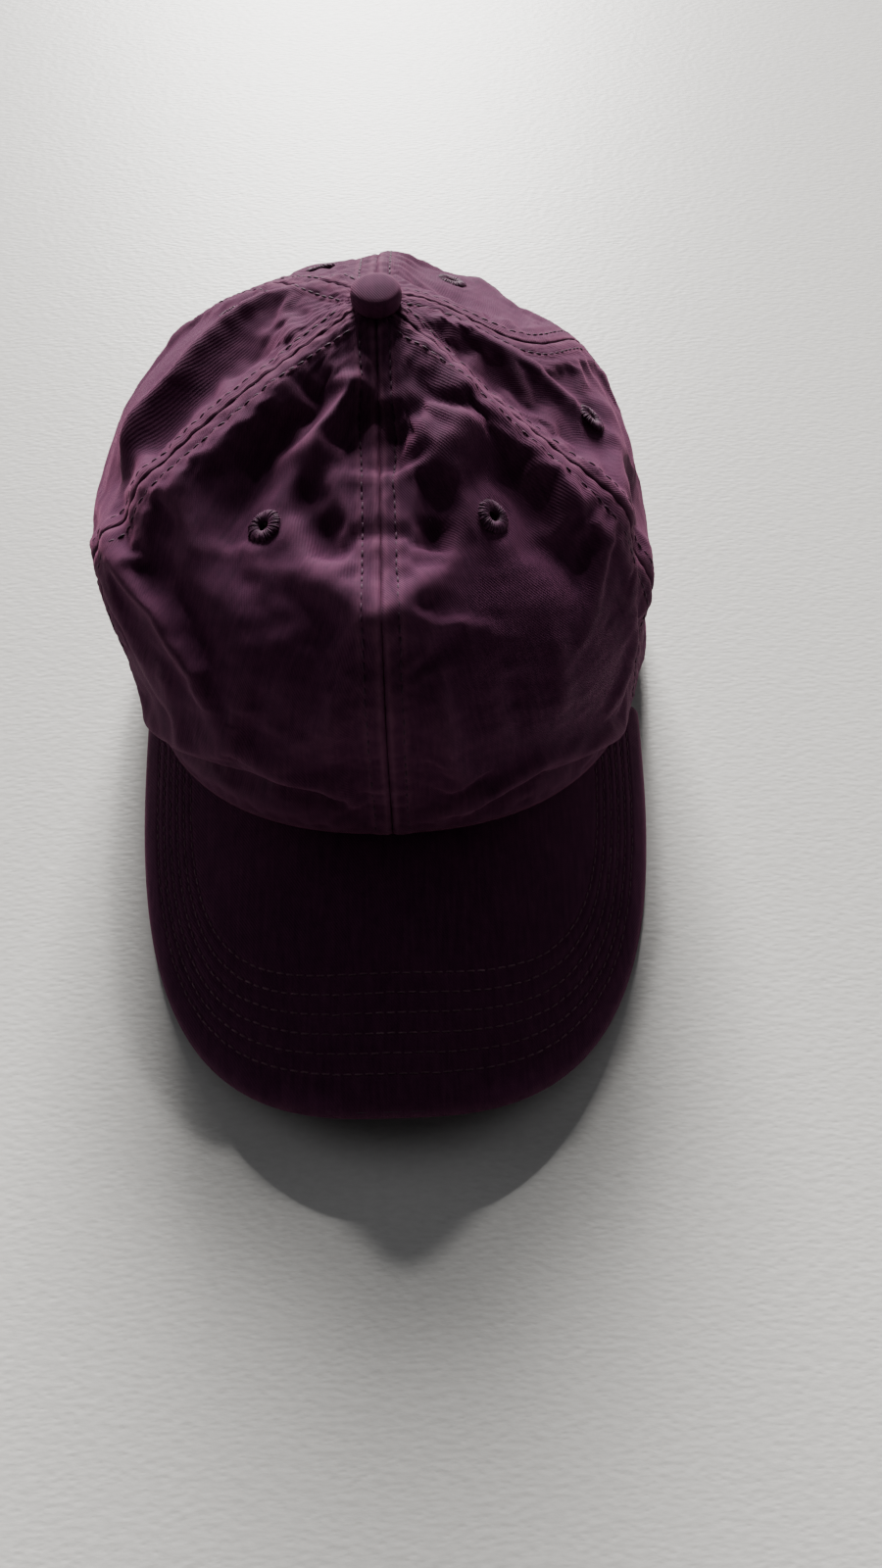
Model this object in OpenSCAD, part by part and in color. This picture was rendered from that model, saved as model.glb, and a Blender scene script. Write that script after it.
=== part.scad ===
// Soft six-panel cotton cap with an arched visor and a cloth strap with a clamp buckle at the back.
// Millimetres. +Z is up and the visor points along -Y. The origin is the middle of the
// cap's footprint, on the table that it rests on. Left and right are the wearer's: left is +X.

/* [Crown] */
// Half of the crown's width at the hem
hem_half_w = 82; // [79:1:85]
// Distance from the hem oval's centre to the forehead
hem_front = 101; // [97:1:105]
// Height of the cloth under the button
crown_h = 118; // [112:1:124]
// How far behind the hem oval's centre the button sits
apex_back = 18; // [12:1:20]
// Roundness of the crown's shoulders
shoulder = 0.21; // [0.12:0.01:0.26]
// Depth of the sag between the button and the front eyelets
front_sag = 6; // [0:1:8]
// Thickness of the panel cloth with its seam allowance
cloth_t = 1; // [0.8:0.1:1.1]

/* [Visor] */
// Half of the visor's width, measured straight across
visor_half_w = 78; // [76:1:80]
// Distance from the visor's back corners to its front edge
visor_l = 130; // [122:1:136]
// Radius of the arch that the visor is bent to
arch_r = 115; // [105:1:120]
// Slope of the visor, down towards the front
visor_slope = 10.5; // [6:0.5:12]
// Thickness of the visor board
board_t = 1.8; // [1.4:0.1:2.4]
// Thickness of one layer of visor cloth
visor_cloth_t = 0.8; // [0.6:0.1:1]

/* [Back strap and buckle] */
// Width of the strap
strap_w = 20; // [16:1:20]
// Thickness of the strap
strap_t = 1.6; // [1.2:0.1:1.6]
// Angle that the strap covers on each side of the back seam
strap_half_angle = 41; // [36:1:42]
// Height of the strap's lower edge above the table
strap_z = 4; // [4:0.5:8]
// Angle from the back seam to the buckle's near edge
buckle_angle = 3; // [0:1:3]
// Radius of the arched opening above the strap
opening_r = 32; // [30:1:34]

/* [Button and eyelets] */
// Radius of the cloth-covered button
button_r = 6.5; // [6:0.5:8]
// Height of the button above the cloth
button_h = 5.2; // [4.6:0.2:6]
// Outer radius of a sewn eyelet
eyelet_r = 4.9; // [4:0.1:5.5]
// Radius of the hole in an eyelet
eyelet_hole_r = 1.5; // [1.2:0.1:2]

/* [Sweatband] */
// Height of the sweatband
band_h = 32; // [28:1:34]
// Thickness of the sweatband's face cloth
band_t = 0.6; // [0.5:0.1:0.7]
// Thickness of the padding behind the forehead
pad_t = 0.5; // [0.4:0.1:0.5]

/* [Hidden] */
$fn = 96;

// Fineness of the cloth grids: columns and rows of a panel.
PANEL_COLS = 9;
PANEL_ROWS = 16;
// Gap left between parts that would touch.
gap = 0.3;

plum = [0.30, 0.13, 0.24];
brass = [0.55, 0.42, 0.24];

// The oval of the hem: an egg with a round back and a narrower forehead.
OVAL_POWER = 2.15;
// The crown's profile: a tent that bulges at the shoulders.
TENT_POWER = 1.38;
BULGE = 0.08;
LEAN_SHARE = 0.61;
PANEL_ANGLE = 60;
SEAM_GAP_ANGLE = 0.08;
APEX_S = 0.955;
// The hem comes down to the table between these angles from the front.
VISOR_END_ANGLE = 58;
HEM_DOWN_ANGLE = 80;
VISOR_BACK_Y = -46;
VISOR_POWER = 2.65;

// Layers at the hem, as distances in from the outside of the crown.
tab_t = 0.8;
tab_in = cloth_t + 0.4;
strap_in = tab_in + tab_t + gap;
band_in = strap_in + strap_t + gap;
visor_tuck = band_in - 0.5;
strap_r = hem_half_w - strap_in;
tab_r = hem_half_w - tab_in;

function unit(x) = min(max(x, 0), 1);
function smooth(x) = unit(x) * unit(x) * (3 - 2 * unit(x));

// Radius of the hem oval at angle t from the front.
function hem_r(t) =
  cos(t) <= 0 ? hem_half_w
  : pow(pow(abs(sin(t)) / hem_half_w, OVAL_POWER) + pow(cos(t) / hem_front, OVAL_POWER), -1 / OVAL_POWER);

visor_t = board_t + 2 * visor_cloth_t;

// The visor's outline: a superellipse arc from one back corner round the front to the other.
VISOR_POINTS = 44;
function visor_outline(inset) =
  [for (i = [0:VISOR_POINTS])
    let (a = -90 + 180 * i / VISOR_POINTS,
         r = pow(pow(abs(sin(a)) / (visor_half_w - inset), VISOR_POWER)
                 + pow(cos(a) / (visor_l - inset), VISOR_POWER), -1 / VISOR_POWER))
    [r * sin(a), VISOR_BACK_Y - r * cos(a)]];

// Height above the forehead's arch top, at depth d below the visor's top surface.
function arch_rise(x, y, d) =
  tan(visor_slope) * (y + hem_front) - (arch_r - sqrt(pow(arch_r - d, 2) - x * x)) / cos(visor_slope);

// The visor stands on its two side edges.
visor_z = -min([for (p = visor_outline(0)) arch_rise(p.x, p.y, visor_t)]);
function visor_top(x, y) = visor_z + arch_rise(x, y, 0);

// The crown leans back: a little on its sides and more towards the button.
function lean(s) = LEAN_SHARE * s + (1 - LEAN_SHARE) * smooth((s - 0.55) / 0.4);

// Height of the hem: it rides on the visor in front and comes down to the table behind it.
function hem_z(t) =
  let (r = hem_r(t), down = smooth((abs(t) - VISOR_END_ANGLE) / (HEM_DOWN_ANGLE - VISOR_END_ANGLE)))
  abs(t) > HEM_DOWN_ANGLE ? 0 : (visor_top(r * sin(t), -r * cos(t)) + 2 * gap) * (1 - down);

function profile(e) = pow(cos(e), TENT_POWER) + BULGE * sin(2 * e) * cos(e) + shoulder * pow(sin(2 * e), 3);

function sag(t, s) = front_sag * exp(-pow(t / 24, 2) - pow((s - 0.72) / 0.16, 2));

// A point of the crown's outside. t is the angle from the front, and s runs from 0 at the hem to 1 at the top.
function crown_point(t, s) =
  let (e = 90 * s, in = sag(t, s), r = hem_r(t) * profile(e) - in * cos(e), low = hem_z(t))
  [r * sin(t), apex_back * lean(s) - r * cos(t), low + (crown_h - low) * sin(e) - in * sin(e)];

function crown_normal(t, s) =
  let (step = 0.01,
       along = crown_point(t + 1, s) - crown_point(t - 1, s),
       up = crown_point(t, s + step) - crown_point(t, max(s - step, 0)),
       n = cross(along, up))
  n / norm(n);

// The hem oval's centre lies this far behind the middle of the footprint, which runs
// from the visor's front edge to the bulge at the back of the crown.
back_reach = max([for (s = [0:0.01:0.6]) crown_point(180, s).y]);
centre_y = (visor_l - VISOR_BACK_Y - back_reach) / 2;

// A point at distance d outside the crown's surface. At the hem it stays at the hem's own height.
function cloth_point(t, s, d) =
  let (n = crown_normal(t, s), level = s > 0 ? n : [n.x, n.y, 0] / norm([n.x, n.y]))
  crown_point(t, s) + d * level;

// Two grids of points, outside and inside, closed into one solid.
module slab(outside, inside) {
  cols = len(outside);
  rows = len(outside[0]);
  size = cols * rows;
  function at(i, j) = i * rows + j;
  points = concat([for (column = outside) each column], [for (column = inside) each column]);
  faces = concat(
    [for (i = [0:cols - 2], j = [0:rows - 2], k = [0, 1])
      let (a = at(i, j), b = at(i, j + 1), c = at(i + 1, j + 1), d = at(i + 1, j))
      k == 0 ? [a, b, c] : [a, c, d]],
    [for (i = [0:cols - 2], j = [0:rows - 2], k = [0, 1])
      let (a = size + at(i, j), b = size + at(i, j + 1), c = size + at(i + 1, j + 1), d = size + at(i + 1, j))
      k == 0 ? [a, c, b] : [a, d, c]],
    [for (i = [0:cols - 2], end = [0, rows - 1], k = [0, 1])
      let (a = at(i, end), b = at(i + 1, end), c = size + b, d = size + a,
           face = k == 0 ? [a, b, c] : [a, c, d])
      end == 0 ? face : [face[0], face[2], face[1]]],
    [for (j = [0:rows - 2], end = [0, cols - 1], k = [0, 1])
      let (a = at(end, j), b = at(end, j + 1), c = size + b, d = size + a,
           face = k == 0 ? [a, b, c] : [a, c, d])
      end == 0 ? [face[0], face[2], face[1]] : face]
  );
  polyhedron(points, faces);
}

// Cloth that follows the crown between two angles and two levels, from d_out to d_in off its outside.
module crown_cloth(t0, t1, s0, s1, d_out, d_in, cols, rows) {
  function grid(d) = [for (i = [0:cols]) [for (j = [0:rows])
    cloth_point(t0 + (t1 - t0) * i / cols, s0 + (s1 - s0) * j / rows, d)]];
  slab(grid(d_out), grid(d_in));
}

// Points along an arc about the hem oval's centre. Angles run from the back seam towards the left.
ARC_STEP = 2;
function arc_points(r, from, to) =
  let (inner = [for (a = [ceil((from + 0.1) / ARC_STEP) * ARC_STEP:ARC_STEP:to - 0.1]) a])
  [for (a = concat([from], inner, [to])) r * [sin(a), cos(a)]];

function reversed(list) = [for (i = [len(list) - 1:-1:0]) list[i]];

// Part of an upright ring.
module back_arc(r_in, r_out, z_low, z_high, from, to) {
  translate([0, 0, z_low]) linear_extrude(height = z_high - z_low)
    polygon(concat(arc_points(r_in, from, to), reversed(arc_points(r_out, from, to))));
}

module upright_at(r, angle) {
  translate([r * sin(angle), r * cos(angle), 0]) rotate([0, 0, -angle]) children();
}

// The arched prism that cuts the opening at the back.
OPENING_STRAIGHT = 10;
module opening_prism(r) {
  translate([0, hem_half_w / 2, OPENING_STRAIGHT]) rotate([-90, 0, 0]) cylinder(r = r, h = hem_half_w);
  translate([-r, hem_half_w / 2, -1]) cube([2 * r, hem_half_w, OPENING_STRAIGHT + 1]);
}

// ---- Crown panels ----
binding_w = 4;
EYELET_S = 0.625;

module at_eyelet(t) {
  p = crown_point(t, EYELET_S);
  n = crown_normal(t, EYELET_S);
  translate(p) rotate([0, acos(n.z), atan2(n.y, n.x)]) children();
}

module panel(t) {
  edge = PANEL_ANGLE / 2 - SEAM_GAP_ANGLE;
  color(plum) difference() {
    crown_cloth(t - edge, t + edge, 0, APEX_S, 0, -cloth_t, PANEL_COLS, PANEL_ROWS);
    at_eyelet(t) cylinder(r = eyelet_r + 0.05, h = 12, center = true);
    if (abs(t) > 120) opening_prism(opening_r + binding_w);
  }
}

// A ring of close stitches round the vent hole, standing a little proud on both sides.
EYELET_PROUD = 0.6;
module eyelet(t) {
  color(plum) at_eyelet(t) translate([0, 0, -cloth_t / 2]) difference() {
    cylinder(r = eyelet_r, h = cloth_t + 2 * EYELET_PROUD, center = true);
    cylinder(r = eyelet_hole_r, h = 10, center = true);
  }
}

// A strip of tape under one seam, which narrows to a point below the button.
tape_w = 10;
tape_t = 0.5;
TAPE_IN = cloth_t + 2 * gap;
TAPE_ROWS = 16;
module seam_tape(t, s0) {
  function half_angle(s) = min(asin(min(tape_w / 2 / (hem_r(t) * profile(90 * s)), 1)), PANEL_ANGLE / 2 - 1);
  function grid(d) = [for (i = [-1:1]) [for (j = [0:TAPE_ROWS])
    let (s = s0 + (0.93 - s0) * j / TAPE_ROWS) cloth_point(t + i * half_angle(s), s, d)]];
  color(plum * 0.8) slab(grid(-TAPE_IN), grid(-TAPE_IN - tape_t));
}

// ---- Button ----
module at_button() { translate([0, apex_back, crown_h]) children(); }

function dome(r, h, base) = [for (a = [0:10:90]) [r * pow(cos(a), 0.5), base + h * pow(sin(a), 0.8)]];

BUTTON_SKIRT = -0.6;
BUTTON_SIDE = 1.6;
button_cloth = 0.6;
shell_wall = 0.5;
module dome_shell(r, top, wall) {
  rotate_extrude() polygon(concat(
    [[r - wall, BUTTON_SKIRT], [r, BUTTON_SKIRT]],
    dome(r, top - BUTTON_SIDE, BUTTON_SIDE),
    [for (p = [9:-1:0]) dome(r - wall, top - wall - BUTTON_SIDE, BUTTON_SIDE)[p]]
  ));
}

module button_cover() { color(plum) at_button() dome_shell(button_r, button_h, button_cloth); }

module button_shell() {
  color("silver") at_button() dome_shell(button_r - button_cloth, button_h - button_cloth, shell_wall);
}

RIVET_R = 1.4;
WASHER_R = 6;
WASHER_DROP = 4.6;
module button_rivet() {
  top = button_h - button_cloth - shell_wall;
  color("silver") at_button() {
    translate([0, 0, -WASHER_DROP]) cylinder(r = RIVET_R, h = WASHER_DROP + top - 0.1);
    translate([0, 0, -WASHER_DROP]) cylinder(r = WASHER_R, h = 0.7);
  }
}

// ---- Sweatband ----
BAND_COLS = 40;
band_end_angle = 180 - asin((opening_r + 1) / hem_half_w);
band_face = band_in + pad_t + gap;

function band_low(t) = max(hem_z(t) - 5 * smooth(hem_z(t) / 10), 0);

// An upright wall that follows the hem oval, from d_out to d_in inside it.
module band_wall(t0, t1, d_out, d_in, low, high, cols) {
  function column(t, d) =
    let (n = crown_normal(t, 0), level = [n.x, n.y, 0] / norm([n.x, n.y]), p = crown_point(t, 0) - d * level)
    [for (z = [low, high]) [p.x, p.y, band_low(t) + z]];
  slab([for (i = [0:cols]) column(t0 + (t1 - t0) * i / cols, d_out)],
       [for (i = [0:cols]) column(t0 + (t1 - t0) * i / cols, d_in)]);
}

module sweatband() {
  color(plum * 0.9)
    band_wall(-band_end_angle, band_end_angle, band_face, band_face + band_t, 0, band_h, BAND_COLS);
}

PAD_ANGLE = 72;
module sweatband_padding() {
  color("gainsboro") band_wall(-PAD_ANGLE, PAD_ANGLE, band_in, band_in + pad_t, 3, band_h - 3, 18);
}

LABEL_ANGLE = 34;
LABEL_SPAN = 18;
module care_label() {
  r = hem_half_w - band_face - band_t - gap;
  color("white") back_arc(r - 0.3, r, 8, 26, -LABEL_ANGLE - LABEL_SPAN, -LABEL_ANGLE);
}

// ---- Visor ----
// The space inside the head band, which the visor stops at.
module head_space() {
  linear_extrude(height = 120, center = true) polygon([for (t = [-100:5:100])
    let (n = crown_normal(t, 0), p = crown_point(t, 0)) [p.x, p.y] - visor_tuck * [n.x, n.y] / norm([n.x, n.y])]);
}

// Everything inside the arch at depth d below the visor's top.
module arch_core(d) {
  translate([0, -hem_front, visor_z]) rotate([visor_slope, 0, 0]) translate([0, 0, -arch_r])
    rotate([90, 0, 0]) cylinder(r = arch_r - d, h = 400, center = true, $fn = 180);
}

module arched(inset, d_out, d_in) {
  difference() {
    intersection() {
      linear_extrude(height = 110, center = true) polygon(visor_outline(inset));
      arch_core(d_out);
    }
    arch_core(d_in);
  }
}

// The two cloths meet at a seam round the edge and enclose the board.
visor_rim = 1.2;

module visor_top_cloth() {
  color(plum) difference() {
    arched(0, 0, visor_t / 2);
    arched(visor_rim, visor_cloth_t, visor_t + 1);
    head_space();
  }
}

module visor_board() {
  color("dimgray") difference() {
    arched(visor_rim, visor_cloth_t, visor_cloth_t + board_t);
    head_space();
  }
}

module visor_under_cloth() {
  color(plum) difference() {
    arched(0, visor_t / 2, visor_t);
    arched(visor_rim, visor_t / 2 - 1, visor_cloth_t + board_t);
    head_space();
  }
}

// ---- Back opening, strap and buckle ----
module back_opening_binding() {
  color(plum) difference() {
    intersection() {
      crown_cloth(148, 212, 0, 0.42, 0.5, -cloth_t - 0.2, 14, 9);
      opening_prism(opening_r + binding_w - 0.05);
    }
    opening_prism(opening_r);
  }
}

strap_top = strap_z + strap_w;
module strap() {
  color(plum) back_arc(strap_r - strap_t, strap_r, strap_z, strap_top, -strap_half_angle, strap_half_angle);
}

// The frame: two rails above and below the strap, a plate behind it and a bar that the tab loops round.
rail_t = 1.7;
rail_gap = 0.4;
frame_span = 16;
frame_low = strap_z - rail_gap - rail_t;
frame_high = strap_top + rail_gap + rail_t;
frame_end = buckle_angle + frame_span;
frame_in = strap_r - strap_t - gap - 1.9;
bar_r = tab_r + 0.2;
bar_t = 1.4;
bar_span = 2.4;
pivot_r = strap_r + 2.7;
pivot_angle = buckle_angle + 2;
pin_r = 0.8;
ear_r = 1.8;

module rail(low) {
  back_arc(frame_in, bar_r + bar_t, low, low + rail_t, buckle_angle, frame_end);
  upright_at(pivot_r, pivot_angle) translate([0, 0, low]) cylinder(r = ear_r, h = rail_t);
}

module buckle_frame() {
  inset = 0.1;
  color(brass) difference() {
    union() {
      rail(frame_low);
      rail(frame_high - rail_t);
      back_arc(frame_in + inset, strap_r - strap_t - gap, frame_low + inset, frame_high - inset,
               buckle_angle + 0.2, buckle_angle + 6);
      back_arc(bar_r, bar_r + bar_t - inset, frame_low + inset, frame_high - inset,
               frame_end - bar_span, frame_end - 0.2);
    }
    upright_at(pivot_r, pivot_angle) cylinder(r = pin_r, h = 60, center = true);
  }
}

module buckle_pin() {
  color(brass) upright_at(pivot_r, pivot_angle) translate([0, 0, frame_low]) cylinder(r = pin_r, h = frame_high - frame_low);
}

// The lever: a barrel on the pin, a cam that pinches the strap, and a curved cover plate on a neck.
barrel_r = 1.7;
cam_r = pivot_r - strap_r - 0.2;
cam_nose = 0.9;
cover_t = 1.1;
cover_in = tab_r + 0.2 + bar_t + 0.2 + tab_t + 0.3;
neck_l = 6.2;
neck_angle = 3;
module buckle_lever() {
  low = strap_z - rail_gap + 0.2;
  high = strap_top + rail_gap - 0.2;
  neck_y = cover_in - pivot_r;
  color(brass) difference() {
    union() {
      upright_at(pivot_r, pivot_angle) translate([0, 0, low]) {
        cylinder(r = barrel_r, h = high - low);
        linear_extrude(height = high - low)
          polygon([[-1.3, -0.8], [-cam_nose / 2, -cam_r], [cam_nose, -cam_r], [1.5, 0], [0, 1]]);
        cube([barrel_r + 1.4, neck_y + cover_t / 2, high - low]);
        translate([0, neck_y - 0.05, 0]) cube([neck_l, cover_t - 0.1, high - low]);
      }
      back_arc(cover_in, cover_in + cover_t, frame_low, frame_high, pivot_angle + neck_angle, frame_end - 0.5);
    }
    upright_at(pivot_r, pivot_angle) cylinder(r = pin_r + 0.06, h = 60, center = true);
  }
}

// The tab: a loop of cloth round the frame's bar, sewn into the hem behind it.
tab_end_angle = 38;
module buckle_tab() {
  low = strap_z + 0.8;
  high = strap_top - 0.8;
  near = frame_end - bar_span - 1;
  far = frame_end + 2.6;
  out = bar_r + bar_t + 0.2 + tab_t;
  color(plum) translate([0, 0, low]) linear_extrude(height = high - low) difference() {
    polygon(concat(arc_points(tab_r - tab_t, near, tab_end_angle),
                   reversed(arc_points(tab_r, far, tab_end_angle)),
                   reversed(arc_points(out, near, far))));
    polygon(concat(arc_points(tab_r, near + 0.6, frame_end + 0.5),
                   reversed(arc_points(out - tab_t, near + 0.6, frame_end + 0.5))));
  }
}

module placed(name) {
  translate([0, centre_y, 0]) children();
}

placed("front_panel_left") panel(30);
placed("front_panel_right") panel(-30);
placed("side_panel_left") panel(90);
placed("side_panel_right") panel(-90);
placed("back_panel_left") panel(150);
placed("back_panel_right") panel(-150);
placed("eyelet_front_left") eyelet(30);
placed("eyelet_front_right") eyelet(-30);
placed("eyelet_side_left") eyelet(90);
placed("eyelet_side_right") eyelet(-90);
placed("eyelet_back_left") eyelet(150);
placed("eyelet_back_right") eyelet(-150);
placed("seam_tape_front") seam_tape(0, 0.01);
placed("seam_tape_back") seam_tape(180, 0.32);
placed("seam_tape_front_left") seam_tape(60, 0.01);
placed("seam_tape_front_right") seam_tape(-60, 0.01);
placed("seam_tape_back_left") seam_tape(120, 0.01);
placed("seam_tape_back_right") seam_tape(-120, 0.01);
placed("button_cover") button_cover();
placed("button_shell") button_shell();
placed("button_rivet") button_rivet();
placed("sweatband") sweatband();
placed("sweatband_padding") sweatband_padding();
placed("care_label") care_label();
placed("visor_top_cloth") visor_top_cloth();
placed("visor_board") visor_board();
placed("visor_under_cloth") visor_under_cloth();
placed("back_opening_binding") back_opening_binding();
placed("strap") strap();
placed("buckle_frame") buckle_frame();
placed("buckle_lever") buckle_lever();
placed("buckle_pin") buckle_pin();
placed("buckle_tab") buckle_tab();
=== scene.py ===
import math

import bmesh
import bpy
import numpy as np
from mathutils import Matrix


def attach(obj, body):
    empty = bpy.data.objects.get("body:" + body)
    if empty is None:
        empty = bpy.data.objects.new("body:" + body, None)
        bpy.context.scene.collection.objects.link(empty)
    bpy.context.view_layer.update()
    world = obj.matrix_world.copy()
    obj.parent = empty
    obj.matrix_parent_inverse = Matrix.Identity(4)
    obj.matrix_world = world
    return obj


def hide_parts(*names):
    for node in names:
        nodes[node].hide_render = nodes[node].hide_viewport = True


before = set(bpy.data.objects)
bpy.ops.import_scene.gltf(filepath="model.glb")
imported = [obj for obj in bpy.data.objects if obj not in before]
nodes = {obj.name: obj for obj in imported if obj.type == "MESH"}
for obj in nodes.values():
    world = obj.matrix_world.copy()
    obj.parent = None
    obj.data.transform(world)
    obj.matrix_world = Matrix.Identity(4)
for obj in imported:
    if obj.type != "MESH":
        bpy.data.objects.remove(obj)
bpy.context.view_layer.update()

MM = 0.001

# ---------------------------------------------------------------- the cap's form, in millimetres and degrees
# half the hem's width, its reach in front, the crown's height, and how far back its top lies
HALF_W, FRONT, HEIGHT, APEX_BACK = 82.0, 101.0, 118.0, 18.0
# the profile's shoulder, bulge and tent, and the power of the hem's oval
SHOULDER, BULGE, TENT, OVAL = 0.21, 0.08, 1.38, 2.15
# the front panels' sag: its depth, half width in degrees, middle level and half height
SAG, SAG_T, SAG_S, SAG_H = 6.0, 24.0, 0.72, 0.16
# how far the wearer's right and left sides lean to the wearer's right, at mid height and high up
LEAN_MID, LEAN_HIGH = (5.1, 3.4), (3.1, 7.6)
# the share of the top's way back that comes evenly with the level, and how far the back bulges
LEAN_SHARE, BACK_BULGE = 0.61, 4.5
# the visor's outline: half width, reach from its own middle, where that middle lies, and its power
VISOR_W, VISOR_L, VISOR_BACK, VISOR_N = 78.0, 130.0, -46.0, 2.65
# the visor's arch, its fall towards the front and its thickness
ARCH_R, SLOPE, VISOR_T = 115.0, math.radians(10.5), 3.4
# the middle of the hem's oval lies this far back in the shared frame
CENTRE_Y = 44.454
SEAMS = (-180, -120, -60, 0, 60, 120)


def smooth(x):
    x = np.clip(x, 0, 1)
    return x * x * (3 - 2 * x)


def wrap(a):
    return (np.asarray(a, float) + 180) % 360 - 180


def visor_outline(a, inset=0.0):
    """The visor's outline at angle a (degrees) round its own middle, drawn in by inset."""
    a = np.radians(a)
    r = ((np.abs(np.sin(a)) / (VISOR_W - inset)) ** VISOR_N
         + (np.abs(np.cos(a)) / (VISOR_L - inset)) ** VISOR_N) ** (-1 / VISOR_N)
    return r * np.sin(a), VISOR_BACK - r * np.cos(a)


def arch_rise(x, y, depth):
    x = np.clip(x, -(ARCH_R - depth), ARCH_R - depth)
    return math.tan(SLOPE) * (y + FRONT) - (ARCH_R - np.sqrt((ARCH_R - depth) ** 2 - x * x)) / math.cos(SLOPE)


VISOR_Z = -arch_rise(*visor_outline(np.linspace(-90, 90, 45)), VISOR_T).min()


def visor_top(x, y):
    return VISOR_Z + arch_rise(x, y, 0)


def hem_radius(t):
    c, s = np.cos(np.radians(t)), np.abs(np.sin(np.radians(t)))
    oval = ((s / HALF_W) ** OVAL + (np.clip(c, 1e-9, None) / FRONT) ** OVAL) ** (-1 / OVAL)
    return np.where(c <= 0, HALF_W, oval)


def hem_height(t):
    r = hem_radius(t)
    x, y = r * np.sin(np.radians(t)), -r * np.cos(np.radians(t))
    down = smooth((np.abs(t) - 58) / 22)
    return np.where(np.abs(t) > 80, 0, (visor_top(x, y) + 0.5) * (1 - down))


def profile(s):
    e = s * np.pi / 2
    return np.cos(e) ** TENT + BULGE * np.sin(2 * e) * np.cos(e) + SHOULDER * np.sin(2 * e) ** 3


def crown_base(t, s):
    """The crown's plain form: t is the angle from the front, and s runs from 0 at the hem to 1 at the top."""
    t, s = np.broadcast_arrays(wrap(t), np.asarray(s, float))
    a = np.radians(t)
    low, r = hem_height(t), hem_radius(t) * profile(s)
    sag = SAG * np.exp(-(t / SAG_T) ** 2 - ((s - SAG_S) / SAG_H) ** 2)
    e = s * np.pi / 2
    r = r - sag * np.cos(e)
    mid, high = np.exp(-((s - 0.38) / 0.22) ** 2) * smooth(s / 0.15), np.exp(-((s - 0.68) / 0.18) ** 2)
    lean = np.where(t < 0, LEAN_MID[0] * mid + LEAN_HIGH[0] * high, LEAN_MID[1] * mid + LEAN_HIGH[1] * high)
    lean = lean * np.abs(np.sin(a))
    back = APEX_BACK * (LEAN_SHARE * s + (1 - LEAN_SHARE) * smooth((s - 0.55) / 0.4))
    back = back + BACK_BULGE * np.sin(np.pi * s)
    return np.stack([r * np.sin(a) - lean, back - r * np.cos(a),
                     low + (HEIGHT - low) * np.sin(e) - sag * np.sin(e)], -1)


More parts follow.
